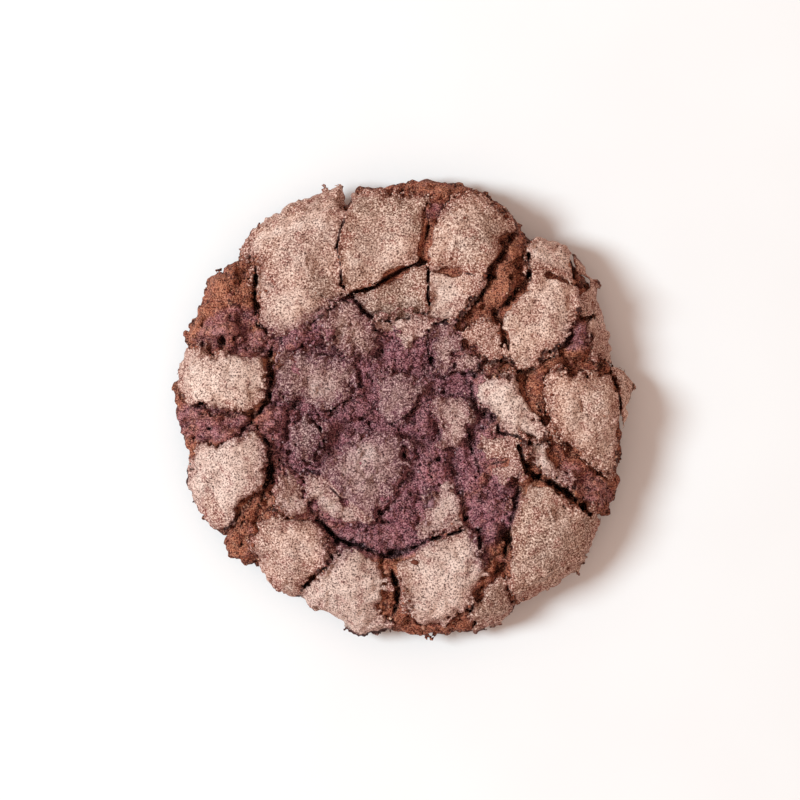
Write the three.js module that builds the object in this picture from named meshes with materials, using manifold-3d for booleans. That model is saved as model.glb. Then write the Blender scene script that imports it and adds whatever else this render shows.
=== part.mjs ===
// An ube cookie, baked on a tray: a round soft biscuit whose dried top has broken into crust plates.
// The plates stand on a ring of raised crumb round a sunken middle, with open cracks between them.
// Everything is one piece of baked dough. X is to the right, Y away from the viewer and Z up, in mm.

import * as THREE from "three";
import { mergeVertices } from "three/addons/utils/BufferGeometryUtils.js";
import Module from "manifold-3d";

const wasm = await Module();
wasm.setup();

// Heights above the tray
const middleHeight = 12.2; // the crust over the sunken middle
const crestHeight = 15.6; // the crust on the raised ring
const sideHeight = 6; // where the side stands out furthest
const lipHeight = 5.2; // the lower edge of the crust on the side

// Sizes of the crust and the crumb
const crustRise = 2.3; // how far the plates stand over the crumb
const crumbInset = 1; // how far the crumb side stays behind the crust
const footInset = 4; // how far the flat underside stays behind the side
const edgeDraft = 1.4; // how far a broken crust edge leans back, at most
const edgeDraftShare = 0.3; // and at most this share of a narrow plate's width
const edgeDraftHeight = 9; // the height over which it leans back
const crackDepth = 5.5; // of an open crack, from the crust down
const crackTip = 0.4; // how blunt a crack's two ends are, in steps along it
const pitDepth = 3; // of a pit, from the crust down
const moundLumps = 0.13; // unevenness of a heap of crumb, as a share of its size
const moundWaves = 4; // radians of its lumps' waves for each half width of the heap
const crumbLumps = 0.45; // unevenness of the crumb between the plates
const lumpSpacing = 7; // from one rise of the crumb to the next

// Fineness of the facets
const turnSteps = 63;
const moundSteps = 9;
const rimSteps = 8; // between two points of the rim
const crackSteps = 2; // for each point of a crack's way
const mergeWithin = 1e-4; // corners this near to each other are one corner

// The outermost edge seen from above, clockwise from the notch at the top
const rimOutline = [
  [-11.3, 42.2], [-8.5, 42.6], [-5, 42.8], [4.5, 44.9], [13, 43.6], [19.5, 40], [23, 36.5],
  [25, 33.2], [27.5, 33.5], [31.8, 32.2], [35.3, 28], [37.4, 25.4], [39.3, 19.5], [41, 14],
  [41, 8.5], [43.7, 5.9], [45, 4.5], [43.8, -3], [43, -12], [41.9, -16.5], [38.8, -23.5],
  [35.8, -30], [30.5, -34.8], [22, -39.3], [19, -42], [14, -43.7], [11, -42.4], [4.3, -44],
  [-3.5, -42.8], [-8.2, -44], [-12.8, -41], [-18, -39], [-19.6, -36.6], [-24, -35.9],
  [-27.9, -31.2], [-33.5, -29], [-35.2, -24.8], [-39, -22], [-41.3, -17], [-42.4, -9],
  [-42.4, -5.5], [-45, 2.5], [-43.6, 7.3], [-42.9, 12], [-40.4, 18.8], [-37.9, 25.7],
  [-32, 28.8], [-31.2, 32.8], [-25, 37.4], [-22, 40], [-15, 42.6],
];

// Height of the crust by its distance from the middle, as a share of the way to the rim
const crustProfile = [
  [0, middleHeight],
  [0.22, middleHeight],
  [0.42, middleHeight + 1.2],
  [0.62, crestHeight - 0.4],
  [0.76, crestHeight],
  [0.87, crestHeight - 1.6],
  [0.95, crestHeight - 4.4],
  [0.99, crestHeight - 7.2],
  [1, sideHeight],
];

// Height of the side under its furthest point, down to the flat underside
const sideProfile = [
  [0.995, sideHeight - 2.2],
  [0.965, sideHeight - 4.6],
];

// Each crust plate: how far it is lifted, how it leans towards X and Y (rise for each mm), its edge
const crustPlates = [
  {
    lift: 0.9, lean: [0.05, 0.01], // upper left, the largest
    edge: [
      [-10.4, 40.2], [-12.4, 33], [-12.2, 26], [-10.8, 22.4], [-14.7, 18.8], [-22, 15.5],
      [-25.2, 15], [-27.6, 17], [-27.6, 20.8], [-25.2, 23.5], [-27.2, 27], [-27, 29.4],
      [-30.7, 30.4], [-29.5, 33.5], [-25.2, 37], [-24.5, 39.2], [-18, 41.5], [-12.3, 43.2],
    ],
  },
  {
    lift: 0.2, lean: [0.03, -0.03], // top middle
    edge: [
      [-8.7, 41.2], [-4, 41.7], [4.3, 40.9], [3.8, 36.6], [4.5, 34.5], [2.8, 28.8],
      [-3, 25.4], [-10, 22.7], [-11.6, 26], [-11.8, 31], [-10.6, 36.3],
    ],
  },
  {
    lift: -0.5, lean: [0, 0.05], // fan under it
    edge: [
      [-8.8, 21.3], [-4, 24.2], [1.5, 27.2], [4.4, 27], [4.7, 23], [4.1, 18.3], [2.5, 17],
      [-5, 16.3], [-7.7, 19.5],
    ],
  },
  {
    lift: 0.8, lean: [0.02, 0.02], // top right
    edge: [
      [4.6, 30.5], [5.7, 28.2], [11, 27.2], [14.5, 26.2], [17.3, 27.5], [19.6, 29.5],
      [19.2, 32.5], [21.8, 35], [21, 37.3], [17.5, 38.3], [16.3, 40.6], [13.5, 41.5],
      [10.3, 40], [6.5, 35],
    ],
  },
  {
    lift: 0, lean: [0.06, 0.03], // under the top right one
    edge: [
      [5.6, 26.6], [10, 26], [15.4, 25.3], [14.8, 23.5], [12.3, 20.7], [9.3, 17], [5.4, 17.4],
    ],
  },
  {
    lift: 0.7, lean: [0.02, 0.01], // large one at the right
    edge: [
      [26, 27.6], [28, 27.8], [33.2, 24.8], [34.2, 23], [33.8, 18.5], [31, 13], [27, 11],
      [25.8, 8.5], [24.2, 7.2], [20.8, 10], [19, 17.5], [23, 23.5], [24.9, 23.7],
    ],
  },
  {
    lift: 0.4, lean: [-0.02, -0.04], // lobe at the upper right rim
    edge: [
      [24.8, 30.5], [26.9, 33.4], [29.5, 33.2], [33.1, 30.3], [33, 25.8], [28, 28.6],
      [25.7, 28.8],
    ],
  },
  {
    lift: -0.3, lean: [-0.03, 0], // strip outside the lobe
    edge: [[33.7, 30.4], [37, 26.8], [37.3, 25.4], [33.8, 25.4]],
  },
  {
    lift: -0.9, lean: [-0.02, 0], // layered block at the right rim
    edge: [[35, 23.4], [37.6, 24], [39.3, 19.5], [40.9, 14], [41, 9.5], [38.4, 9.5], [37, 18]],
  },
  {
    lift: 0.6, lean: [-0.02, 0], // big right plate
    edge: [
      [28, 5.5], [31.2, 7.4], [34.5, 5.7], [41, 5.8], [42.4, 4.5], [42, -4], [40.9, -12.7],
      [37.5, -11.8], [32.8, -7.2], [30.8, -6.2], [28.7, 0.5],
    ],
  },
  {
    lift: -0.8, lean: [0, 0], // second layer outside the big right plate
    edge: [[43, 5.8], [45.2, 5.2], [44.8, 0], [44, -3.6], [42.8, -2], [42.9, 3]],
  },
  {
    lift: -0.4, lean: [-0.12, 0.03], // slab that faces the light, right of the middle
    edge: [
      [14.2, 4], [15.6, 6.4], [21, 3.2], [24, 0.8], [26.5, -3], [27.3, -5.6], [24.5, -5.5],
      [18.3, -2], [15.2, 0.8],
    ],
  },
  {
    lift: -0.3, lean: [0, 0.05], // thin strip between the right plates
    edge: [[24.6, -7], [27, -7.5], [30, -10.5], [31.3, -14], [29, -13.5], [26, -10.5]],
  },
  {
    lift: 0.5, lean: [-0.02, 0.02], // big lower right plate
    edge: [
      [24.5, -15.5], [28.8, -13.6], [33.8, -20.3], [37, -19.4], [38.6, -20.8], [38.3, -24],
      [34.8, -31.4], [29, -35.2], [22.2, -38], [20.1, -32], [21, -26], [22.8, -18],
    ],
  },
  {
    lift: -0.5, lean: [-0.04, 0.06], // small one at the lower right rim
    edge: [[20, -31.7], [15.8, -35], [12.3, -41], [13.5, -43.4], [20, -41.5], [21.5, -38.5]],
  },
  {
    lift: 0.5, lean: [0.01, 0.02], // pale one at the bottom
    edge: [
      [12.7, -24], [5, -26.3], [-1.5, -29.7], [-2.3, -31], [0, -33.5], [0.2, -37.5], [3, -42],
      [8.8, -42.5], [13.7, -37.3], [15.8, -32.5], [14.5, -28],
    ],
  },
  {
    lift: 0.3, lean: [0.03, 0.02], // bottom, left of the middle
    edge: [
      [-9.7, -27.5], [-5.2, -28.8], [-3.7, -35], [-5, -38.5], [-3, -42.4], [-8.2, -43.7],
      [-15, -40], [-19.2, -37], [-14, -30.8],
    ],
  },
  {
    lift: 0.3, lean: [0.02, 0.02], // lower left
    edge: [
      [-27.8, -22.5], [-25, -21.3], [-17.5, -21.8], [-15.3, -24], [-15, -30], [-21.8, -37],
      [-26.8, -32.5], [-28.3, -28],
    ],
  },
  {
    lift: 0.7, lean: [0.04, 0], // palest one, at the left
    edge: [
      [-43.3, 12], [-40.3, 11.8], [-36.5, 9.2], [-34.5, 10.3], [-27.5, 10.5], [-26.4, 9],
      [-26.6, 3], [-28.5, -1.3], [-34.5, -0.7], [-38.2, 1.5], [-43.4, 2],
    ],
  },
  {
    lift: 0.4, lean: [0.04, 0.02], // left, under the palest
    edge: [
      [-38, -8.5], [-33, -8], [-28.5, -5.5], [-26.8, -7.5], [-28, -15], [-30.7, -17.5],
      [-34, -20], [-37, -23.3], [-41.4, -17], [-40.4, -10],
    ],
  },
  {
    lift: -0.6, lean: [0.02, 0.06], // middle ones from here on, upper left first
    edge: [
      [-10.3, 21.4], [-6.5, 16.8], [-4.5, 12], [-6.5, 9.8], [-12.7, 12.3], [-14.6, 17],
      [-13, 20],
    ],
  },
  {
    lift: -0.2, lean: [0, 0.04],
    edge: [[-5.5, 15.4], [2, 16.6], [5, 15.6], [1.2, 10.8], [-1.5, 14]],
  },
  {
    lift: -0.4, lean: [0.03, 0.02],
    edge: [[5.3, 11.5], [6.8, 14.5], [9.8, 15.3], [11, 12.2], [9.5, 8.5], [8, 6.6]],
  },
  {
    lift: -0.7, lean: [0, 0.02],
    edge: [[10.4, 9.3], [13, 10.8], [15, 9], [14, 7.8], [11.5, 8.1]],
  },
  {
    lift: 0, lean: [0.03, 0.03],
    edge: [[12.2, 15], [16, 17.7], [18.5, 16.2], [19.4, 10.3], [16.7, 9], [13.3, 13]],
  },
  {
    lift: -0.6, lean: [-0.02, 0.04],
    edge: [
      [-24.3, 8], [-23.3, 11], [-10, 8.7], [-9, 6], [-10.5, 2.5], [-14, 0], [-17.5, 0],
      [-23.8, 3],
    ],
  },
  {
    lift: -0.2, lean: [0, 0], // the very middle
    edge: [[-4.8, 5.5], [0, 7], [5, 5], [4.7, 2.7], [-2.2, -3], [-4.3, -1.3]],
  },
  {
    lift: 0.1, lean: [0.03, -0.03],
    edge: [[3.2, -22.6], [3.9, -24.4], [12, -22.9], [10.5, -14], [9, -13.5], [4.5, -19]],
  },
  {
    lift: -0.2, lean: [0.02, 0],
    edge: [
      [6.3, 1.3], [9.5, 2], [12.3, 1.6], [14.4, -2.5], [12.2, -4.2], [11.8, -7.3], [8.3, -7],
    ],
  },
  {
    lift: -0.1, lean: [-0.02, -0.03], // largest in the middle
    edge: [
      [-15.7, -12], [-8.5, -5.7], [0, -5.9], [0, -10], [1.1, -13], [-5, -20.5], [-7, -22.6],
      [-15, -13.6],
    ],
  },
  {
    lift: -0.5, lean: [-0.02, -0.05],
    edge: [[-19.5, -13], [-16.3, -13.4], [-7.7, -23], [-15.5, -21], [-19.3, -15]],
  },
  {
    lift: -0.3, lean: [-0.04, -0.02],
    edge: [[-22, -12.4], [-20.3, -13.4], [-18.5, -20], [-21, -21.2], [-25, -18.5]],
  },
  {
    lift: -0.9, lean: [-0.06, 0.02],
    edge: [[-22, -3.5], [-19.3, -1.6], [-15.8, -4.5], [-18.5, -10], [-22.5, -7.5]],
  },
  {
    lift: -0.5, lean: [0.03, 0.02],
    edge: [[15.4, -4.8], [17.5, -3.3], [24, -6.6], [24.2, -9.4], [17, -10.8], [14.8, -6.2]],
  },
  {
    lift: -0.6, lean: [0.02, -0.02],
    edge: [[17, -11.8], [23.1, -10.9], [21.7, -15], [20.3, -16.5]],
  },
];

// Heaps of bare crumb between the plates: middle, half width, turn in degrees, lift over the crumb
const crumbMounds = [
  { middle: [-35, 21.5], half: [8, 5], turn: 62, lift: 1.6 }, // brown, upper left rim
  { middle: [20, 26], half: [8, 2.6], turn: 68, lift: 2.2 }, // orange ridge, upper right
  { middle: [31, 9.4], half: [8.5, 2.4], turn: 22, lift: 1.8 }, // rusty ridge over the big right plate
  { middle: [36.5, -14.5], half: [6.5, 3.6], turn: -38, lift: 1.4 }, // red brown, right rim
  { middle: [-22, -3.5], half: [6.5, 5], turn: 0, lift: 1 }, // purple, left of the middle
  { middle: [-3, -24.8], half: [8.5, 2.3], turn: 2, lift: 1.2 }, // purple, under the middle
  { middle: [-31, -25], half: [4.4, 3.2], turn: 70, lift: 1.7 }, // rusty, lower left rim
  { middle: [-36, -3.4], half: [7.5, 2], turn: -8, lift: 1.3 }, // between the two left plates
  { middle: [17.5, -18.5], half: [6.5, 2.6], turn: 62, lift: 1.2 }, // purple blocks, lower right
  { middle: [15.5, -28], half: [4, 2.2], turn: 75, lift: 1.4 },
  { middle: [28, -0.5], half: [6, 1.3], turn: 88, lift: 1.6 }, // beside the big right plate
  { middle: [-2, 42.3], half: [7, 1.8], turn: 4, lift: 1 }, // rust strip on the top rim
];

// Open cracks: width at the widest, and the way it runs
const cracks = [
  { width: 1, way: [[-12, 22], [-5.5, 23.4], [-2.5, 25.7], [0, 27.2], [3.4, 28.2]] },
  { width: 0.9, way: [[5, 28], [3.4, 30], [4.6, 32.5], [5, 35.5], [4.5, 41.4]] },
  { width: 1, way: [[21.4, 33.4], [19.8, 30], [17, 27], [16.8, 24.2], [14, 19.6]] },
  { width: 1.2, way: [[24.7, 30], [24.6, 25], [22, 22.8], [20.4, 20.6], [18, 18.3]] },
  { width: 1, way: [[-28.5, 27.6], [-28.8, 22], [-28.2, 16.4]] },
  { width: 1.3, way: [[-25.3, 11.6], [-25.2, 6], [-25.6, 2], [-27.8, -0.9], [-31, -4.4]] },
  { width: 1.5, way: [[-28.4, -3.8], [-25.9, -7.5], [-25.5, -12], [-27.2, -17], [-28.6, -20.8]] },
  { width: 2.2, way: [[-16.4, -21.8], [-12.5, -26], [-8, -27], [-3.6, -29], [1.4, -27.8], [6, -25.3]] },
  { width: 1.2, way: [[-19.8, -35.8], [-17, -32.8], [-14.2, -30.4]] },
  { width: 1.1, way: [[-2.6, -30.4], [-0.9, -35], [-1.1, -38.6], [-2.7, -43]] },
  { width: 1.5, way: [[24.4, -9.4], [26, -12], [29.6, -14.2], [33.5, -17.4], [36.4, -20.6]] },
  { width: 1.3, way: [[23.6, -14.6], [22, -18.4], [21, -23], [20.2, -28], [19.6, -31.8]] },
  { width: 0.9, way: [[12.8, -3.8], [13.4, -7.4], [14.4, -10], [15.4, -12.4]] },
  { width: 1, way: [[5.2, 15.2], [4.9, 12], [5.6, 9], [7.6, 6.2]] },
];

// Round pits: middle, and width
const pits = [
  { middle: [16.5, -1.6], width: 2.4 },
  { middle: [-38.8, 12.4], width: 1.8 },
  { middle: [-35.5, 13], width: 1.6 },
  { middle: [20.4, -20.8], width: 2 },
  { middle: [14.2, 6.3], width: 2 },
  { middle: [38.8, 8.4], width: 2 },
  { middle: [-9.9, 21.7], width: 1.8 },
  { middle: [14.5, -23.5], width: 1.6 },
];

// The way the rim runs, rounded between its points, as pairs of angle and distance in rising order
const rimCurve = new THREE.CatmullRomCurve3(
  rimOutline.map(([x, y]) => new THREE.Vector3(x, y, 0)),
  true,
  "centripetal",
);
const rimSamples = rimCurve
  .getPoints(rimOutline.length * rimSteps)
  .slice(1)
  .map((p) => [Math.atan2(p.y, p.x), Math.hypot(p.x, p.y)])
  .sort((a, b) => a[0] - b[0]);

// Distance from the middle to the rim in the direction of an angle
function rimDistance(angle) {
  const next = rimSamples.findIndex(([a]) => a >= angle);
  const [a1, r1] = next < 0 ? [rimSamples[0][0] + 2 * Math.PI, rimSamples[0][1]] : rimSamples[next];
  const before = next > 0 ? rimSamples[next - 1] : rimSamples.at(-1);
  const a0 = next === 0 ? before[0] - 2 * Math.PI : before[0];
  return THREE.MathUtils.mapLinear(angle, a0, a1, before[1], r1);
}

// Height of the crust at a place, from its profile
function crustHeight(x, y) {
  const share = Math.hypot(x, y) / rimDistance(Math.atan2(y, x));
  const next = crustProfile.findIndex(([s]) => s >= share);
  if (next < 1) {
    return next < 0 ? sideHeight : middleHeight;
  }
  const [s0, h0] = crustProfile[next - 1];
  const [s1, h1] = crustProfile[next];
  return THREE.MathUtils.mapLinear(share, s0, s1, h0, h1);
}

// The solid inside a closed geometry, without the flat triangles at a turned shape's two ends
function solidOf(geometry) {
  geometry.deleteAttribute("normal");
  geometry.deleteAttribute("uv");
  const merged = mergeVertices(geometry, mergeWithin);
  const corners = merged.index.array;
  const kept = [];
  for (let i = 0; i < corners.length; i += 3) {
    const [a, b, c] = corners.slice(i, i + 3);
    if (a !== b && b !== c && c !== a) {
      kept.push(a, b, c);
    }
  }
  const vertProperties = merged.attributes.position.array;
  return new wasm.Manifold(
    new wasm.Mesh({ numProp: 3, vertProperties, triVerts: new Uint32Array(kept) }),
  );
}

// A whole cookie body: the profile turned once round, then drawn out to the uneven rim.
// Its top stays the drop under the crust, its side the inset behind the rim, and its top is lumpy.
function cookieBody(drop, inset, lumps) {
  const foot = 1 - footInset / rimOutline[0][1];
  const top = crustProfile.map(([share, height]) => [share, Math.max(height - drop, sideHeight)]);
  const profile = [[0, 0], [foot, 0], ...sideProfile.toReversed(), ...top.toReversed()];
  const turned = new THREE.LatheGeometry(
    profile.map(([share, height]) => new THREE.Vector2(share, height)),
    turnSteps,
  );
  turned.rotateX(Math.PI / 2);
  turned.rotateZ(Math.PI);
  const places = turned.attributes.position;
  const waves = (2 * Math.PI) / lumpSpacing;
  for (let i = 0; i < places.count; i++) {
    const reach = rimDistance(Math.atan2(places.getY(i), places.getX(i))) - inset;
    const x = places.getX(i) * reach;
    const y = places.getY(i) * reach;
    const z = places.getZ(i);
    const lump = z > sideHeight ? lumps * Math.sin(waves * x) * Math.cos(waves * y) : 0;
    places.setXYZ(i, x, y, z + lump);
  }
  return solidOf(turned);
}

// A column over an outline, straight up from one height to another
function column(outline, lower, upper) {
  const shape = new THREE.Shape(outline.map(([x, y]) => new THREE.Vector2(x, y)));
  const geometry = new THREE.ExtrudeGeometry(shape, { depth: upper - lower, bevelEnabled: false });
  return solidOf(geometry.translate(0, 0, lower));
}

// A column whose sides lean in from the outline over its upper part
function leaningColumn(outline, lower, upper) {
  const corners = outline.map(([x, y]) => new THREE.Vector2(x, y));
  const length = corners.reduce((sum, p, i) => sum + p.distanceTo(corners.at(i - 1)), 0);
  const width = (2 * Math.abs(THREE.ShapeUtils.area(corners))) / length;
  const draft = Math.min(edgeDraft, width * edgeDraftShare);
  const geometry = new THREE.ExtrudeGeometry(new THREE.Shape(corners), {
    depth: upper - lower,
    bevelThickness: edgeDraftHeight,
    bevelSize: draft,
    bevelOffset: -draft,
    bevelSegments: 1,
  });
  geometry.translate(0, 0, lower - edgeDraftHeight);
  return solidOf(geometry).trimByPlane([0, 0, 1], lower);
}

// The middle of an outline
function middleOf(outline) {
  const sum = outline.reduce(([sx, sy], [x, y]) => [sx + x, sy + y], [0, 0]);
  return sum.map((total) => total / outline.length);
}

// One crust plate: the whole crust lifted and leaned about the plate's middle, cut to the plate's edge
function crustPlate(wholeCrust, { lift, lean, edge }) {
  const [mx, my] = middleOf(edge);
  const raised = wholeCrust.warp((point) => {
    point[2] += lift + lean[0] * (point[0] - mx) + lean[1] * (point[1] - my);
  });
  const upper = crustHeight(mx, my) + edgeDraftHeight / 2;
  return raised.intersect(leaningColumn(edge, lipHeight, upper));
}

// A heap of crumb: a flattened, lumpy ball whose top stands a little over the crumb round it
function crumbMound({ middle, half, turn, lift }) {
  const [x, y] = middle;
  const top = crustHeight(x, y) - crustRise + lift;
  const ball = new THREE.SphereGeometry(1, moundSteps, Math.ceil(moundSteps / 2));
  const places = ball.attributes.position;
  for (let i = 0; i < places.count; i++) {
    const point = new THREE.Vector3().fromBufferAttribute(places, i);
    const wave = point.clone().multiplyScalar(moundWaves);
    const lump = Math.sin(wave.x + x) * Math.sin(wave.y + y) * Math.sin(wave.z);
    places.setXYZ(i, ...point.multiplyScalar(1 + moundLumps * lump));
  }
  ball.rotateX(Math.PI / 2);
  ball.scale(half[0], half[1], top / 2);
  ball.rotateZ(THREE.MathUtils.degToRad(turn));
  ball.translate(x, y, top / 2);
  return solidOf(ball);
}

// An open crack: pointed at both ends, as wide as stated half way, and straight down to its depth
function crack({ width, way }) {
  const line = new THREE.SplineCurve(way.map(([x, y]) => new THREE.Vector2(x, y)));
  const steps = way.length * crackSteps;
  const sides = [[], []];
  for (let i = 0; i <= steps; i++) {
    const point = line.getPoint(i / steps);
    const along = line.getTangent(i / steps);
    const half = (width / 2) * Math.sin((Math.PI * (i + crackTip)) / (steps + 2 * crackTip));
    sides[0].push([point.x - along.y * half, point.y + along.x * half]);
    sides[1].push([point.x + along.y * half, point.y - along.x * half]);
  }
  const [mx, my] = way[Math.floor(way.length / 2)];
  const bottom = crustHeight(mx, my) - crackDepth;
  return column([...sides[1], ...sides[0].toReversed()], bottom, bottom + crestHeight * 2);
}

// A round pit sunk in the crust or the crumb
function pit({ middle, width }) {
  const ball = new THREE.SphereGeometry(width / 2, moundSteps, Math.ceil(moundSteps / 2));
  ball.scale(1, 1, pitDepth / (width / 2));
  ball.translate(middle[0], middle[1], crustHeight(...middle));
  return solidOf(ball);
}

function cookieSolid() {
  const wholeCrust = cookieBody(0, 0, 0);
  const crumb = cookieBody(crustRise, crumbInset, crumbLumps);
  const flatUnder = crumb.boundingBox().min[2];
  const plates = crustPlates.map((plate) => crustPlate(wholeCrust, plate));
  const mounds = crumbMounds.map(crumbMound);
  const joined = [...plates, ...mounds].reduce((sum, piece) => sum.add(piece), crumb);
  const opened = [...cracks.map(crack), ...pits.map(pit)].reduce((rest, cut) => rest.subtract(cut), joined);
  return opened.trimByPlane([0, 0, 1], flatUnder);
}

// A three.js geometry of a solid's faces
function geometryOf(solid) {
  const faces = solid.getMesh();
  const geometry = new THREE.BufferGeometry();
  geometry.setAttribute("position", new THREE.BufferAttribute(faces.vertProperties, 3));
  geometry.setIndex(new THREE.BufferAttribute(faces.triVerts, 1));
  geometry.computeVertexNormals();
  return geometry;
}

const bakedDough = new THREE.MeshStandardMaterial({
  color: 0xb98f7f,
  roughness: 0.9,
  metalness: 0,
  flatShading: true,
});

const cookie = new THREE.Mesh(geometryOf(cookieSolid()), bakedDough);
cookie.name = "cookie";

// The origin is under the middle of the cookie's box, on the tray
cookie.geometry.computeBoundingBox();
const box = cookie.geometry.boundingBox;
const boxMiddle = box.getCenter(new THREE.Vector3());
cookie.position.set(-boxMiddle.x, -boxMiddle.y, -box.min.z);

const ubeCookie = new THREE.Group();
ubeCookie.add(cookie);

export default ubeCookie;
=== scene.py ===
import bmesh
import bpy
import math
import numpy as np
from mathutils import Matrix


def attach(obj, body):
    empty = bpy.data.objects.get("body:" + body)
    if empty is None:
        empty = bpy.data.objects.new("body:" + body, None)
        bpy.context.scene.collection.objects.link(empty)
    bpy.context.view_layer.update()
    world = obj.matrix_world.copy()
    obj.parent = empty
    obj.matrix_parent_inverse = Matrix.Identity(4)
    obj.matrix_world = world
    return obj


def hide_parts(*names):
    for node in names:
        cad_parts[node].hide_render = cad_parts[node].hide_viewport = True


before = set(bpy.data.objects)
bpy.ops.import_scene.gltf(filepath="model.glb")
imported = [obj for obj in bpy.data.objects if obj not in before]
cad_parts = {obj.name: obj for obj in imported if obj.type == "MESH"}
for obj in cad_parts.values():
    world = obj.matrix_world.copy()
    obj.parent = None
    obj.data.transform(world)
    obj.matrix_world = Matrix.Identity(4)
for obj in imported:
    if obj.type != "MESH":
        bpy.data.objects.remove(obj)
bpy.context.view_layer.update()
print("cookie: the frame is loaded")

mm = 0.001  # everything below is worked out in mm and made in metres

# How the photo was taken: straight down, and its scale at the height of the crust
photo = {
    "size": 800,  # px along each side
    "pxPerMm": 5.13,  # the cookie is 462 px wide, and 90 mm
    "cookieMiddlePx": (402, 408),
    "cameraHeight": 900,  # mm, far enough for hardly any perspective
    "crustHeight": 14,  # mm, where the scale holds
    "sensor": 36,  # mm
}

# The baked body, as in the CAD model
body = {
    "crestHeight": 15.6,  # the ring of thick crust
    "sink": 3.4,  # the middle lies this much lower
    "sinkMiddle": (-4, -4),
    "sinkRadii": (14, 31),  # fully sunk inside the first, not at all outside the second
    "sideHeight": 6,  # the side stands out furthest here
    "shoulder": 10.6,  # mm from the rim to the crest
    "footInset": 4,
    "waves": ((9, 0.5), (4, 0.22)),  # spacing and height of the swells in the crust
}

# The edge of the cookie seen from above, in mm from its middle
rimOutline = [
    (-10.9, 41), (-8.8, 42.6), (-5, 43), (4.5, 44.9), (13, 43.6), (19.5, 40), (23, 36.5),
    (25, 33.2), (27.5, 33.5), (31.8, 32.2), (35.3, 28), (37.4, 25.4), (39.3, 19.5), (41, 14),
    (41, 8.5), (43.7, 5.9), (45, 4.5), (43.8, -3), (43, -12), (41.9, -16.5), (38.8, -23.5),
    (35.8, -30), (30.5, -34.8), (22, -39.3), (19, -42), (14, -44.1), (11, -43.9), (4.3, -44.9),
    (-3.5, -43.5), (-8.2, -43.9), (-12.8, -41.2), (-18, -39), (-19.6, -36.6), (-24.5, -36.3),
    (-27.9, -31.2), (-33.5, -29), (-35.2, -24.8), (-39, -22), (-41.3, -17), (-42.4, -9),
    (-42.5, -5.6), (-43.5, -4.6), (-44.9, 0.2), (-44.7, 2.8), (-43.7, 7.2), (-42.6, 11.8), (-41.3, 15.5),
    (-40.2, 18.8), (-37.9, 25.7),
    (-32, 28.8), (-31.8, 31.8), (-29.4, 35), (-25.2, 37.6), (-22, 40), (-15, 42.6), (-12.2, 43.3),
]

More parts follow.
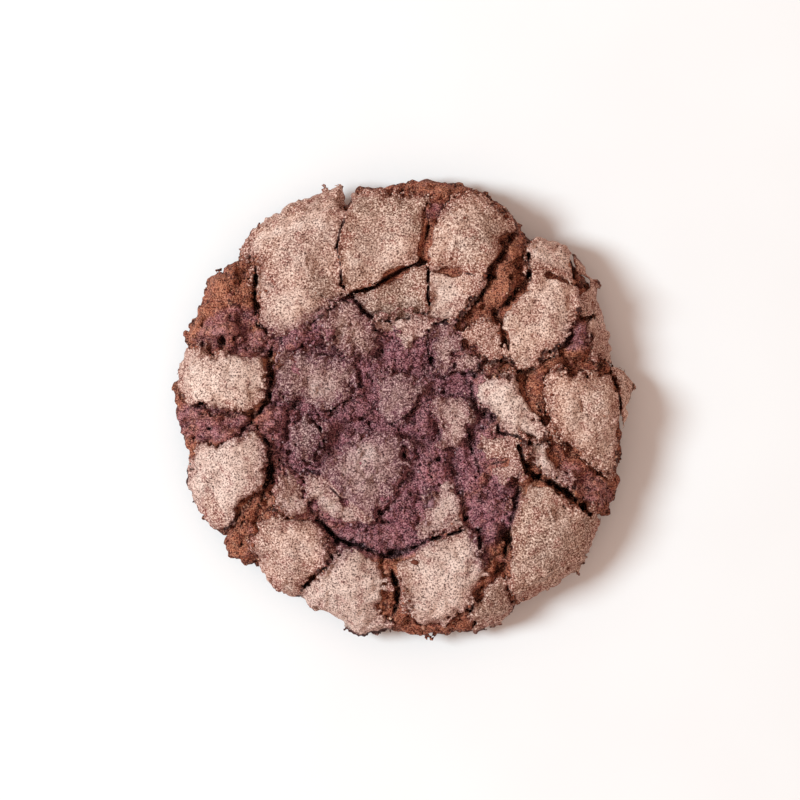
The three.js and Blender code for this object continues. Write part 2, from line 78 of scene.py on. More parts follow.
# Each crust plate: lift in mm, lean towards X and Y in mm for each mm, how mauve and how pale, edge
crustPlates = [
    (0.7, (0.01, 0.01), 0.1, -0.05, [  # upper left, the largest
        (-10.4, 40.2), (-11, 37), (-12, 34.3), (-12.5, 31), (-11.8, 27.3), (-11.7, 24), (-10.6, 22.3),
        (-14.7, 18.8), (-22, 15.5), (-25.2, 15), (-27.6, 17), (-27.6, 20.8), (-25.2, 23.5),
        (-27.2, 27), (-27, 29.2), (-30.9, 30.4), (-30.3, 32.4), (-27.6, 35.2), (-24.7, 38.6), (-18, 41.5),
        (-12.3, 43.2)]),
    (0.2, (0.03, 0), 0.1, 0.5, [  # its flake
        (-28.5, 24), (-27.7, 26.8), (-24.6, 25.4), (-24.4, 22), (-27.6, 21.3)]),
    (1.2, (-0.03, -0.02), 0.0, -0.2, [  # top middle
        (-9.6, 41.4), (-4, 41.7), (4.9, 40.9), (4.5, 36.6), (5.1, 34.5), (3.4, 28.8), (-3, 25.4),
        (-10.4, 22.4), (-11.7, 24), (-11.8, 27.3), (-12.5, 31), (-12, 34.3), (-10.9, 37),
        (-10.4, 40.4)]),
    (-0.5, (0, 0.05), 0.05, -0.45, [  # fan under it
        (-8.8, 21.6), (-4, 24.6), (1.5, 27.6), (4.7, 27.6), (4.9, 23), (4.5, 18.3), (2.5, 17),
        (-5, 16.3), (-7.7, 19.5)]),
    (0.8, (0.02, 0.02), 0.0, -0.1, [  # top right
        (3.9, 31), (4.5, 27.8), (11, 26.5), (14.5, 25.8), (17.3, 27.2), (19.6, 29.5), (19.2, 32.5),
        (21.8, 35), (21, 37.3), (17.5, 38.3), (16.3, 40.6), (13.5, 41.5), (10.3, 40.3),
        (7, 37.6), (4.6, 34.5)]),
    (0, (0.06, 0.03), 0.1, 0.3, [  # under the top right one
        (5.2, 28), (10, 27.6), (15.6, 26.6), (14.8, 23.5), (12.3, 20.7), (9.3, 17), (5.4, 17.4)]),
    (0.7, (0.02, 0.01), 0.0, 0.1, [  # large one at the right
        (26.2, 28.8), (28.2, 28.6), (30.2, 28), (33.4, 26.3), (34.2, 23), (33.8, 18.5), (31, 13), (27, 11),
        (25.8, 8.5), (24.2, 7.2), (20.8, 10), (19, 17.5), (23, 23.5), (24.9, 23.7)]),
    (0.7, (0.08, 0), 0.0, 0.2, [  # lobe at the upper right rim
        (24.6, 29.6), (25, 31), (26.6, 33.2), (28.6, 33.6), (32, 31.6), (33.4, 29.6), (33.7, 24.4),
        (30.4, 25.4), (28.4, 26), (26.2, 26.7)]),
    (-0.3, (-0.03, 0), 0.0, 0.1, [  # strip outside the lobe
        (33.7, 30.4), (37, 26.8), (37.3, 25.4), (33.8, 25.4)]),
    (-0.5, (-0.02, 0), 0.2, 0, [  # layered block at the right rim
        (34, 24), (37.6, 24.4), (39.3, 19.5), (40.9, 14), (41, 9.5), (37.4, 10.4), (35.2, 17)]),
    (0.6, (-0.02, 0), 0.0, 0.0, [  # big right plate
        (28, 5.5), (31.2, 6.7), (34.5, 6.9), (41, 6.4), (42.3, 1.5), (42.4, -4), (42, -8.5), (41.2, -12.7),
        (37.5, -11.8), (32.8, -7.2), (30.8, -6.2), (28.7, 0.5)]),
    (-0.8, (0, 0), 0.0, 0.0, [  # second layer outside the big right plate
        (41.8, 7.6), (43.8, 6.6), (45.2, 5), (44.8, 0), (44, -3.6), (42.8, -2), (42.9, 3)]),
    (1.4, (-0.02, 0.03), 0.15, 0.8, [  # palest slab, right of the middle
        (13.9, 4.2), (14.2, 6), (15.3, 6.8), (17.8, 5.9), (21.8, 5.4), (24.3, 2.8), (25.9, 0.2),
        (26.7, -2.8), (26.6, -5.8), (24.7, -6), (21.6, -5), (19.4, -3.3), (17.4, -1), (16.1, 0.2),
        (14.2, 1.8)]),
    (0.5, (0, 0.05), 0.3, 0.55, [  # thin strip between the right plates
        (24.6, -6.7), (27.2, -7), (30.2, -10.3), (31.8, -14.2), (29.4, -14), (26.4, -10.8)]),
    (-0.5, (-0.02, 0.06), 0.15, -0.4, [  # small one at the lower right rim
        (20, -31.7), (15.8, -35), (13.7, -41), (14.4, -43.2), (20, -41.5), (21.5, -38.5)]),
    (0.5, (-0.02, 0.02), 0.05, -0.35, [  # big lower right plate
        (24.5, -15.5), (28.8, -13.6), (33, -21), (37, -19.8), (38.6, -20.8), (38.3, -24),
        (34.8, -31.4), (29, -35.2), (22.2, -38), (20.1, -32), (21, -26), (22.8, -18)]),
    (0.5, (0.02, 0.02), 0.25, 0.3, [  # pale one at the bottom
        (12.7, -23.6), (5, -26.3), (-1.2, -29.9), (-1.9, -31.2), (0.2, -33.5), (0.4, -37.5), (3, -42),
        (8.4, -42.3), (14.2, -36.8), (16.5, -32.5), (14.3, -28)]),
    (0.3, (0.04, 0.02), 0.3, 0.45, [  # bottom, left of the middle
        (-9.7, -27.5), (-4.2, -28.6), (-2.9, -35), (-4, -38.5), (-2.4, -42.4), (-8.2, -43.7),
        (-15, -40), (-19.6, -36.8), (-18.6, -34.6), (-14.6, -31.2)]),
    (0.3, (0.02, 0.02), 0.2, 0.0, [  # lower left
        (-28.4, -22.2), (-25.4, -20.6), (-17.5, -21.8), (-15.3, -24), (-15, -30), (-21.8, -37),
        (-26.8, -32.5), (-28.3, -28)]),
    (0.9, (0.04, 0), 0.1, 0.35, [  # palest one, at the left
        (-43, 12), (-39.8, 11.4), (-37.5, 9.8), (-34.4, 10.6), (-31.8, 10.8), (-27.3, 10.3),
        (-26.9, 7.9), (-27.1, 1.5), (-28.5, -0.7), (-31.4, -0.5), (-33.8, -0.8), (-36.1, -0.2),
        (-38.5, 0.9), (-42.2, 0.7), (-43.2, 4.2)]),
    (0.4, (0.04, 0.02), 0.25, 0.4, [  # left, under the palest
        (-39.4, -7.4), (-33, -6.8), (-28.5, -4.8), (-26.8, -7.5), (-28, -15), (-30.5, -18),
        (-33, -20.8), (-34.8, -23.3), (-36.6, -23), (-38.8, -20.5), (-41.2, -16.6), (-41, -10)]),
    (0.2, (0.02, 0.06), 0.6, -0.4, [  # the sunken middle from here on, upper left first
        (-10.3, 21.4), (-6.5, 16.8), (-4.5, 12), (-6.5, 9.8), (-12.7, 12.3), (-15.4, 17),
        (-13.4, 20.4)]),
    (0.1, (0, 0.04), 0.25, 0.6, [
        (-5.5, 16.6), (2, 17.6), (5, 16.4), (1.2, 10.8), (-1.5, 14)]),
    (-0.4, (0.03, 0.02), 0.7, -0.1, [
        (5.3, 11.5), (6.8, 15.6), (10.3, 16.3), (11.2, 12.4), (9.5, 8.5), (8, 6.6)]),
    (-0.5, (0, 0.02), 0.6, 0.0, [
        (10.4, 9.3), (13, 10.8), (15, 9), (14, 7.8), (11.5, 8.1)]),
    (0, (0.06, 0.03), 0.1, -0.1, [
        (12.4, 14.5), (15.7, 16.4), (19.2, 16.4), (20.1, 10.5), (16.7, 9), (13.3, 13)]),
    (-0.7, (0, 0.04), 0.85, -0.4, [
        (-24.3, 8), (-23.3, 11), (-10, 8.7), (-9, 6), (-10.5, 2.5), (-14, 0), (-17.5, 0),
        (-23.8, 3)]),
    (-0.4, (0, 0), 1.1, -0.25, [  # the very middle
        (-4.8, 5.5), (0, 7), (5, 5), (4.7, 2.7), (-2.2, -3), (-4.3, -1.3)]),
    (0.4, (0.03, -0.03), 0.5, 0.4, [
        (3.6, -24.8), (4, -21.6), (5.7, -17.6), (7.7, -14.2), (9.7, -13.9), (11.3, -18),
        (12, -23.2)]),
    (0, (0.03, 0), 0.55, 0.15, [
        (6.3, 1.3), (9.5, 2), (12.3, 1.6), (14.4, -2.5), (12.2, -4.2), (11.8, -7.3), (8.3, -7)]),
    (-0.2, (-0.02, -0.03), 0.95, -0.25, [  # largest in the middle
        (-15.7, -12), (-8.5, -5.7), (0, -5.9), (0, -10), (1.1, -13), (-5, -20.5), (-7, -22.6),
        (-15, -13.6)]),
    (0.2, (-0.02, -0.02), 0.45, 0.45, [
        (-19.5, -13), (-16.3, -13.4), (-14, -14.4), (-10.5, -17.4), (-6.2, -19.4), (-5.8, -22.3),
        (-10.9, -22.8), (-15.5, -20.6), (-18.4, -17.4)]),
    (0.3, (0, -0.02), 0.35, 0.8, [
        (-22.4, -12), (-20.1, -13.2), (-18.6, -20), (-21, -21.6), (-25.6, -18.8)]),
    (-0.5, (-0.06, 0.02), 0.9, -1, [
        (-22, -3.5), (-19.3, -1.6), (-15.8, -4.5), (-18.5, -10), (-22.5, -7.5)]),
    (0.1, (0.03, 0.02), 0.2, -0.3, [
        (15.4, -4.8), (17.5, -3.3), (22.4, -6), (23, -9.6), (17, -10.8), (14.8, -6.2)]),
    (0, (0.02, -0.02), 0.4, -0.2, [
        (16.6, -10.7), (23, -9.6), (22.4, -12.6), (20.5, -16.8), (19, -15)]),
]

# Paler and duller places on the crust: middle, half widths, turn in degrees, amount
shades = [
    ((-24, 21), (3.5, 7), 0, 0.35), ((-15.5, 23.6), (4, 2.8), -20, -0.45), ((-29.5, 31.5), (2.4, 2), 40, 0.4),
    ((-3, 39.6), (9, 2), 0, -0.6), ((3, 37), (1.6, 4), 0, -0.4), ((-1, 29.5), (5, 2.6), 25, 0.4),
    ((-2, 21.5), (2.5, 2), 0, -0.3), ((16, 35), (3, 5), 0, -0.25), ((13, 32), (3, 3), 0, -0.2),
    ((0.3, -32), (2.8, 2.6), -30, -0.5), ((11, -31.5), (4, 3.4), 0, 0.4), ((37, -25.5), (2, 4), 0, -0.6),
    ((30, -28), (5, 4), -50, -0.3), ((-8, -9), (3, 3), 0, 0.4), ((-4, -14), (4, 2.5), -30, -0.25),
    ((-16.3, 3.4), (2.2, 2), 0, 0.6), ((-31, 1.6), (5, 2.4), 0, -0.3), ((38.8, 1.6), (3, 2.4), 0, -0.3),
    ((40.5, -5), (2, 6), 0, 0.35), ((8, 21.5), (3.4, 4), 0, 0.4),
    ((13, 25.5), (3, 4), 0, -0.4), ((-37, -20.5), (2, 4), 20, -0.5), ((34, -1), (2.2, 2.2), 0, -0.2), ((29.5, 29), (5, 1.6), -20, 0.3),
]

# Heaps of bare crumb: middle, half widths, turn in degrees, lift in mm
crumbHeaps = [
    ((-35, 21.5), (8, 5), 62, 2),
    ((-35.3, 15.1), (4.4, 1.9), 5, 2.2),
    ((-39.8, 14.8), (3.2, 2.4), 0, 1.8),
    ((-27.4, 13.9), (2.6, 1.9), -20, 1.6),
    ((-35.1, 10.9), (2.5, 1), 0, 0.9),
    ((-38.5, -1.2), (4.6, 1.3), -5, 1.5),
    ((-31.4, -1.9), (1.9, 1.7), 0, 1.5),
    ((-25.9, -2), (3.6, 3.2), 20, 1.8),
    ((-34.4, -5.4), (5.6, 1.8), 5, 1.6),
    ((-18.8, 14.4), (7, 2.9), 18, 2),
    ((-23.2, 10), (2, 2), 0, 0.8),
    ((-3.7, 8.3), (3.6, 2), 60, 0.9),
    ((-7, -3.2), (6, 2.6), 0, -0.9),
    ((-15, 16.6), (5, 2.8), -32, 1.7),
    ((15.5, 8.4), (5, 1.5), 20, -1.1),
    ((5.2, 8), (1.8, 3.5), 0, -1.1),
    ((-19, -6), (2.6, 3.6), 20, -0.6),
    ((7, -11.5), (3.6, 5), 10, 1.8),
    ((5.2, -2.5), (2.2, 3.6), 0, 1.3),
    ((0.6, -10.5), (1.8, 4.8), 0, 1.2),
    ((13.7, -8.5), (1.3, 4), 0, -1),
    ((20, 26), (8, 2.8), 68, 2.6),
    ((33.1, 10.6), (3.6, 2.1), 15, 2.2),
    ((28.4, 8.2), (3.6, 1.4), 25, 1.8),
    ((36.4, 7.2), (3.5, 1.8), 0, 1.4),
    ((35, 14), (2, 3.5), 0, 1.6),
    ((20.5, 8), (2.2, 1.2), -15, 0.9),
    ((26, 4.9), (2, 1.7), 0, 1.2),
    ((28.2, 0.4), (3.4, 1), 88, 0.3),
    ((36.5, -14.5), (6.5, 3.6), -38, 0.2),
    ((33, -11.5), (2.2, 1.7), -38, 0.9),
    ((38, -14.5), (2.2, 1.9), 0, 0.9),
    ((-3, -24.8), (8.5, 2.3), 2, 1.2),
    ((-31, -25), (4.4, 3.2), 70, 1.1),
    ((17.5, -18.5), (6.5, 2.6), 62, -0.5),
    ((17.8, -19.3), (2, 2.3), 0, 1.3),
    ((18.4, -24), (2.3, 1.7), 0, 1.3),
    ((14, -20.6), (1.7, 1.7), 0, 0.6),
    ((17, -28.3), (2.3, 2.1), 0, 1.3),
    ((-2, 42.3), (7, 1.8), 4, 1),
    ((9, 42), (6, 1.8), -12, 1.2),
]

# Open cracks and hairlines: width and depth in mm, and the way each runs
cracks = [
    (0.6, 4, [(-12, 22), (-5.5, 23.4), (-2.5, 25.7), (0, 27.2), (3.4, 28.2)]),
    (0.7, 3, [(-10.2, 22), (-8.3, 19.6), (-6, 17.2)]),
    (0.35, 3, [(4.2, 28.4), (3.8, 30), (4.7, 32.5), (5.2, 35.5), (5, 41.4)]),
    (0.4, 3, [(5, 28.6), (5.2, 25), (5, 22), (5.3, 20.5), (4.8, 17.5)]),
    (0.5, 3, [(-10.9, 43), (-10.5, 41.4), (-10.4, 39.4)]),
    (0.3, 1.4, [(-10.5, 40), (-11.1, 37), (-12.1, 34.3), (-12.6, 31), (-11.9, 27.3), (-11.7, 24), (-10.8, 22.5)]),
    (1, 5, [(21.4, 33.4), (19.8, 30), (17, 27), (16.8, 24.2), (14, 19.6)]),
    (0.9, 5, [(24.7, 30), (24.6, 25), (22, 22.8), (20.4, 20.6), (18, 18.3)]),
    (0.3, 2, [(20.1, 14.5), (20.8, 11), (21.4, 8.4), (23.5, 7)]),
    (0.2, 0.8, [(5.5, 26.6), (9, 26.5), (12.4, 26.3), (15.2, 25.4)]),
    (0.8, 3, [(26.2, 1.4), (27.2, -1), (27.8, -4)]),
    (1.2, 5.5, [(-28.5, 27.6), (-28.8, 22), (-28.3, 16.4), (-26, 14.4)]),
    (1.3, 5, [(-25.6, 11.6), (-25.6, 6), (-25.9, 2), (-28, -1.1), (-31, -4.4)]),
    (1.3, 5, [(-28.4, -3.8), (-25.9, -7.5), (-25.5, -12), (-27.2, -17), (-28.6, -20.8)]),
    (1.7, 6, [(-16.4, -21.8), (-12.5, -26), (-8, -27), (-3.6, -29), (1.4, -27.8), (6, -25.3)]),
    (0.6, 3, [(4.5, -25.8), (8, -25), (12.6, -23.6)]),
    (0.6, 3, [(-19.8, -35.8), (-17, -32.8), (-14.2, -30.4)]),
    (1.1, 5, [(-2.6, -30.4), (-0.9, -35), (-1.1, -38.6), (-2.7, -43)]),
    (1.9, 6, [(22.6, -7.2), (23.4, -9.8), (24.6, -12.4), (29.4, -15), (33.5, -17.4), (36.4, -20.6)]),
    (1.7, 5, [(24, -13), (22.2, -18.4), (21, -23), (20.2, -28), (19.6, -31.8)]),
    (0.9, 4, [(12.8, -3.8), (13.4, -7.4), (14.4, -10), (15.4, -12.4)]),
    (0.5, 2.5, [(5.2, 15.2), (4.9, 12), (5.6, 9), (7.6, 6.2)]),
    (0.5, 2, [(33.4, 30.2), (33.4, 27.5), (33.5, 25)]),
    (0.2, 1, [(26, 26.4), (28.4, 25.8), (30.5, 25.1), (33.6, 24.1)]),
    (0.4, 1.5, [(16.6, -11), (19, -10.7), (21.8, -10.1)]),
    (0.35, 1.6, [(-15.4, -14.2), (-13.2, -16.4), (-11.2, -18.4)]),
    (0.5, 1.5, [(7, 2.6), (4.6, 1.2), (2.8, 0), (0.8, -1.5), (-2.3, -3.2), (-4.4, -1.5)]),
    (0.6, 2, [(-14.2, -0.6), (-11.5, 0.8), (-9.4, 2.4)]),
    (0.3, 1.2, [(0.9, -5.8), (0.5, -10), (1.3, -11.7)]),
    (0.5, 1.6, [(-25, -10.6), (-20, -11.2), (-16.6, -13)]),
    (0.6, 2, [(-16, -1), (-13.8, -0.4), (-10.8, 1)]),
    (0.5, 2, [(-20, 0.8), (-18.2, -1.4), (-16, -4), (-15.3, -7)]),
    (0.6, 3, [(13.7, 5.4), (13.7, 2.6), (14.2, 0.6), (15.6, -1.6)]),
    (0.5, 1.5, [(-23.4, 1.6), (-21.4, 1.2), (-19.4, 1.4)]),
    (0.5, 1.6, [(11.6, -14.2), (12, -17), (11.9, -19.6), (12.3, -22)]),
    (0.5, 1.6, [(18.6, -2.6), (18.8, -4.8), (22, -5.3), (24.6, -6.6)]),
    (1.2, 4, [(14.2, -22.6), (15.2, -24.6), (15, -27.4)]),
    (0.5, 2, [(-31, -21.4), (-31.6, -24.6), (-31.4, -28)]),
    (0.5, 1.6, [(41.8, 5.4), (42.7, 1.5), (42.8, -3), (42.3, -8)]),
]

# Soft creases: height of the step, how far back it falls off, and the way, with the high side left of it
creases = [
    (0.9, 2.4, [(-18.8, 28), (-18.5, 25), (-16.6, 22.4), (-13.6, 21)]),
    (0.35, 2.5, [(-36, 12), (-33.5, 8.6), (-33, 5)]),
    (0.4, 3, [(8.6, 40), (10.4, 36), (9.8, 32.5)]),
    (0.4, 3, [(27, -17), (29.6, -22), (29, -27)]),
]

# Round pits: middle and width in mm
pits = [
    ((16.2, -1.2), 2.3), ((17.6, -1.9), 1.9), ((-38.8, 12.4), 1.8), ((-35.5, 13), 1.6),
    ((20.3, -20.6), 2.3), ((14.2, 6.3), 2), ((38.8, 8.4), 2), ((-9.9, 21.7), 1.8),
    ((14.9, -23.9), 1.7), ((-37.3, -4), 1.4), ((-41.5, -4), 1.3), ((36.5, 17.5), 1.2),
    ((35.6, 24.4), 1.6), ((15.9, -14.7), 1.4), ((4.4, -13.4), 1.1), ((1.6, -17), 1),
    ((7.3, -10), 0.9), ((4.3, -15.6), 0.9), ((12.3, -21.5), 1.1), ((-9.7, 1.6), 1.1),
    ((-6.8, 6.4), 1), ((-1.4, 9.4), 0.8), ((-6.9, -23.9), 1.1),
]

# Where the bare crumb stays purple instead of baking rust brown: middle, half widths, turn, strength
purplePatches = [
    ((-4, -4), (24, 22), 0, 1),
    ((-8, 14), (20, 8), -8, 0.9),
    ((17.5, -20), (8, 5), 62, 0.9),
    ((14, -29), (5, 3), 75, 0.8),
    ((34, 14), (3.5, 3), 0, 0.7),
    ((-37, -3), (9, 4), -8, 0.6),
    ((7, 38.5), (3, 2), 0, 0.35),
    ((-29, 12), (6, 3), 20, 0.6),
    ((-14, -27), (3, 6), 20, 0.6),
    ((-4.5, -25.5), (10.5, 4), 0, 1),
    ((-34, 16), (7, 3.5), 25, 0.55),
    ((36, -15), (7, 3), -38, 0.45),
]

crust = {
    "voxel": 0.25,  # mm
    "thickness": 1.8,
    "grown": 0.4,  # the plates reach this far past their outlines
    "overRim": 1.2,  # and over the rim, where their outlines come this near to it
    "crumbled": (0.9, 0.7),  # spacing and height of the grains along its broken edges
    "ragged": ((3, 0.4), (1.2, 0.5), (0.6, 0.4)),  # spacing and depth of the breaks in its edges
    "lift": 0,
    "drops": ((0.5, 0.5), (0.9, 2.6)),  # the crust bends down this far, this near to a free edge
    "sharedEdge": 1.5,  # it bends less where the next plate lies over it: as far in as this
    "relief": ((5, 1), (2.2, 0.5), (1, 0.22), (0.55, 0.12)),  # spacing and height
    "edgeRelief": 0.9,  # this much more of it at the broken edges
    "fringe": 0.6,  # how far the purple crumb has stained the edges beside it
    "edgeScale": 1,  # less than 1 makes the flushed border broader
    "paleMiddle": 0,  # how much paler the middle of each plate is
    "faces": 195000,
}

patches = {
    "voxel": 0.22,
    "thickness": 1.4,
    "lift": 0.4,
    "drops": ((0.25, 0.3), (0.3, 2.6)),
    "relief": ((4, 0.9), (1.8, 0.6), (0.9, 0.36), (0.5, 0.17)),
    "edgeRelief": 0.8,
    "fringe": 0.2,
    "edgeScale": 0.55,
    "paleMiddle": 0.3,
    "crumbled": (0.8, 0.45),
    "faces": 140000,
}

crumb = {
    "voxel": 0.25,
    "middleVoxel": 0.2,
    "rise": 2.1,  # the crust stands this far over the crumb round it
    "middleRise": 2.2,
    "swells": ((7, 0.8), (3.5, 0.8)),  # spacing and height of the broad lumps in the crumb
    "bank": (-0.1, 0.9),  # the crumb climbs to the crust between these distances from its edge
    "inset": 0.8,  # the crumb side stays behind the crust
    "lumps": ((3.2, 1.8), (1.4, 0.8), (0.65, 0.62)),  # spacing and height of its grains
    "pores": ((2.4, 0.95, 0.35), (1, 0.42, 0.5)),  # spacing, largest radius, share of places
    "middleAmount": 0.78,  # the sunken middle is finer
    "thinned": 0.16,  # threads that stand out further than this from what is round them break off
    "seam": (22.5, 1),  # mm from the sunken middle to where the two crumb pieces meet, and overlap
    "faces": 195000,
}

# The gully along the broken edges, where the crust has drawn away from the crumb
gully = {
    "depth": 1.6,
    "middleDepth": 0.9,
    "width": 1.6,
    "towards": (0.75, -0.66),  # it is deepest at the right and lower edges of the plates
    "least": 0.25,  # share of the depth at their other edges
    "spacing": 4,  # it comes and goes over this many mm
}

# How the cracks wander from their ways: spacing and amount, both in mm
jags = {"along": ((2, 0.5), (0.8, 0.6)), "through": (0.9, 0.3)}

sole = {
    "voxel": 0.4,
    "height": 2.2,  # the browned sole reaches this high
    "faces": 80000,
}

looseCrumbs = {
    "count": 1500,
    "radii": (0.12, 0.36),  # mm
    "nearEdge": 1,  # most lie this near to a broken edge
    "onCrust": 0.1,  # and this share of those that fall on the crust stays there
    "sunk": 0.25,  # share of the radius that is pressed in
    "uneven": 0.3,  # how far from round they are
}

# Larger bright flecks: place, radius, and tone from 0, dark red, to 1, pale
flecks = [
    ((5.8, -18.7), 0.75, 0.75), ((4.7, -22.5), 0.5, 0.9), ((2.5, -30), 0.8, 0.15), ((4.2, -43), 0.7, 0.75),
    ((-25.7, -18.2), 0.8, 0.7), ((9, 14.5), 0.6, 0.75), ((-3, -32), 0.6, 0.7), ((-1.5, -38), 0.5, 0.4),
]

outlineMin, outlineMax = np.min(rimOutline, axis=0), np.max(rimOutline, axis=0)
outlineMiddle = (outlineMin + outlineMax) / 2  # the CAD model has this at its origin


def smoothStep(low, high, value):
    t = np.clip((value - low) / (high - low), 0, 1)
    return t * t * (3 - 2 * t)


# Soft noise from -1 to 1: random values on a lattice, blended between its points
def softNoise(points, spacing, seed):
    places = [p / spacing for p in points]
    starts = [math.floor(p.min()) for p in places]
    counts = [math.ceil(p.max()) - s + 2 for p, s in zip(places, starts)]
    values = np.random.default_rng(seed).uniform(-1, 1, counts).astype(np.float32)
    cells = [np.floor(p).astype(np.int32) for p in places]
    fades = [(p - c).astype(np.float32) for p, c in zip(places, cells)]
    fades = [f * f * (3 - 2 * f) for f in fades]
    cells = [c - s for c, s in zip(cells, starts)]
    total = 0
    for corner in np.ndindex(*(2,) * len(points)):
        weight = 1
        for side, fade in zip(corner, fades):
            weight = weight * (fade if side else 1 - fade)
        total = total + weight * values[tuple(c + side for c, side in zip(cells, corner))]
    return total


# Distance to the nearest of the points scattered one to a cell, and that point's own random value
def grains(points, spacing, seed):
    places = [(p / spacing).astype(np.float32) for p in points]
    starts = [math.floor(p.min()) - 1 for p in places]
    counts = [math.floor(p.max()) - s + 3 for p, s in zip(places, starts)]
    maker = np.random.default_rng(seed)
    offsets = maker.uniform(0.1, 0.9, (3, *counts)).astype(np.float32)
    values = maker.uniform(0, 1, counts).astype(np.float32)
    cells = [np.floor(p).astype(np.int32) - s for p, s in zip(places, starts)]
    within = [p - np.floor(p) for p in places]
    nearest = np.full(places[0].shape, 9, np.float32)
    value = np.zeros(places[0].shape, np.float32)
    for step in np.ndindex(3, 3, 3):
        where = tuple(c + s - 1 for c, s in zip(cells, step))
        away = sum((offsets[k][where] + step[k] - 1 - within[k]) ** 2 for k in range(3))
        closer = away < nearest
        nearest = np.where(closer, away, nearest)
        value = np.where(closer, values[where], value)
    return np.sqrt(nearest) * spacing, value


# Distance in from a closed outline, or from some of its sides, in mm, negative outside
def insideOf(gx, gy, outline, sides=None):
    corners = np.array(outline, np.float32)
    sides = np.ones(len(corners), bool) if sides is None else sides
    nearest = np.full(gx.shape, 1e6, np.float32)
    inside = np.zeros(gx.shape, bool)
    for (ax, ay), (bx, by), counts in zip(corners, np.roll(corners, -1, 0), sides):
        ex, ey = bx - ax, by - ay
        if counts:
            along = np.clip(((gx - ax) * ex + (gy - ay) * ey) / (ex * ex + ey * ey), 0, 1)
            away = (gx - ax - along * ex) ** 2 + (gy - ay - along * ey) ** 2
            nearest = np.minimum(nearest, away)
        if ay != by:
            crosses = (gy < ay) != (gy < by)
            inside ^= crosses & (gx < ax + (gy - ay) / (by - ay) * ex)
    return np.where(inside, 1, -1) * np.sqrt(nearest)


# Which sides of a plate lie along one of the others
def sharedSides(outline, others, near=1):
    corners = np.array(outline, np.float32)
    middles = ((corners + np.roll(corners, -1, 0)) / 2).T
    along = [insideOf(*middles, plate[-1]) > -near for plate in others]
    return np.any(along, axis=0) if along else np.zeros(len(corners), bool)


# From 1 at the middle of an oval to 0 at its edge and below 0 outside
def ovalAt(gx, gy, middle, halves, turn):
    c, s = math.cos(math.radians(turn)), math.sin(math.radians(turn))
    along = ((gx - middle[0]) * c + (gy - middle[1]) * s) / halves[0]
    across = ((gy - middle[1]) * c - (gx - middle[0]) * s) / halves[1]
    return 1 - along**2 - across**2


# How far a crack's open part is from each place, in mm, negative within it; it tapers to both ends
def crackGap(gx, gy, width, way):
    points = np.array(way, np.float32)
    lengths = np.hypot(*(points[1:] - points[:-1]).T)
    total, done = lengths.sum(), 0
    gap = np.full(gx.shape, 1e3, np.float32)
    for (ax, ay), (bx, by), length in zip(points, points[1:], lengths):
        ex, ey = bx - ax, by - ay
        along = np.clip(((gx - ax) * ex + (gy - ay) * ey) / length**2, 0, 1)
        away = np.hypot(gx - ax - along * ex, gy - ay - along * ey)
        share = (done + along * length) / total
        half = width / 2 * np.minimum(1, 0.3 + 2.8 * np.minimum(share, 1 - share))
        gap = np.minimum(gap, away - half)
        done += length
    return gap


mapSpacing = 0.25  # mm between the places of each map seen from above
mapXs = np.arange(-48, 48, mapSpacing, dtype=np.float32)
mapYs = np.arange(-48, 48, mapSpacing, dtype=np.float32)
gx, gy = np.meshgrid(mapXs, mapYs, indexing="ij")


# A map's value at places given in mm
def readMap(chart, x, y):
    fx = np.clip((x - mapXs[0]) / mapSpacing, 0, len(mapXs) - 1.001)
    fy = np.clip((y - mapYs[0]) / mapSpacing, 0, len(mapYs) - 1.001)
    i, j = fx.astype(np.int32), fy.astype(np.int32)
    u, v = fx - i, fy - j
    lower = chart[i, j] * (1 - v) + chart[i, j + 1] * v
    upper = chart[i + 1, j] * (1 - v) + chart[i + 1, j + 1] * v
    return (lower * (1 - u) + upper * u).astype(np.float32)


# How much longer than level a slope is, so that a height above it becomes a distance from it
def slopeOf(chart, most=4):
    return np.minimum(np.sqrt(1 + sum(g**2 for g in np.gradient(chart, mapSpacing))), most)


ragged = sum(d * softNoise((gx, gy), s, 40 + i) for i, (s, d) in enumerate(crust["ragged"]))
rim = insideOf(gx, gy, rimOutline) + 0.15 + 0.5 * ragged


# Blurs a map over about this many mm
def blurred(chart, reach):
    offsets = np.arange(-2 * reach, 2 * reach + mapSpacing, mapSpacing)
    weights = np.exp(-2 * (offsets / reach) ** 2)
    weights /= weights.sum()
    for axis in range(2):
        chart = np.apply_along_axis(np.convolve, axis, chart, weights, "same")
    return chart


# How far the middle has sunk, from 0 to 1
def sunkMap():
    (mx, my), (deep, none) = body["sinkMiddle"], body["sinkRadii"]
    return 1 - smoothStep(deep, none, np.hypot(gx - mx, gy - my))


# Height that the creases add: a step that falls off on its high side and runs out at both ends
def creaseMap():
    total = np.zeros_like(rim)
    for height, reach, way in creases:
        points = np.array(way, np.float32)
        nearest, added = np.full(gx.shape, 1e3, np.float32), np.zeros_like(rim)
        for (ax, ay), (bx, by) in zip(points, points[1:]):
            ex, ey = bx - ax, by - ay
            along = np.clip(((gx - ax) * ex + (gy - ay) * ey) / (ex * ex + ey * ey), 0, 1)
            away = np.hypot(gx - ax - along * ex, gy - ay - along * ey)
            high = ex * (gy - ay) - ey * (gx - ax) > 0
            added = np.where(away < nearest, np.where(high, height * np.exp(-((away / reach) ** 2)), 0), added)
            nearest = np.minimum(nearest, away)
        total = total + added
    return total


# Height of the risen dough, before it broke
def domeMap():
    share = 1 - np.clip(rim / body["shoulder"], 0, 1)
    height = body["crestHeight"] - body["sideHeight"]
    dome = body["sideHeight"] + height * (1 - share**2.2) ** 0.62
    for i, (spacing, swell) in enumerate(body["waves"]):
        dome = dome + swell * softNoise((gx, gy), spacing, 60 + i) * smoothStep(0, 6, rim)
    return dome - body["sink"] * sunk + creaseMap()


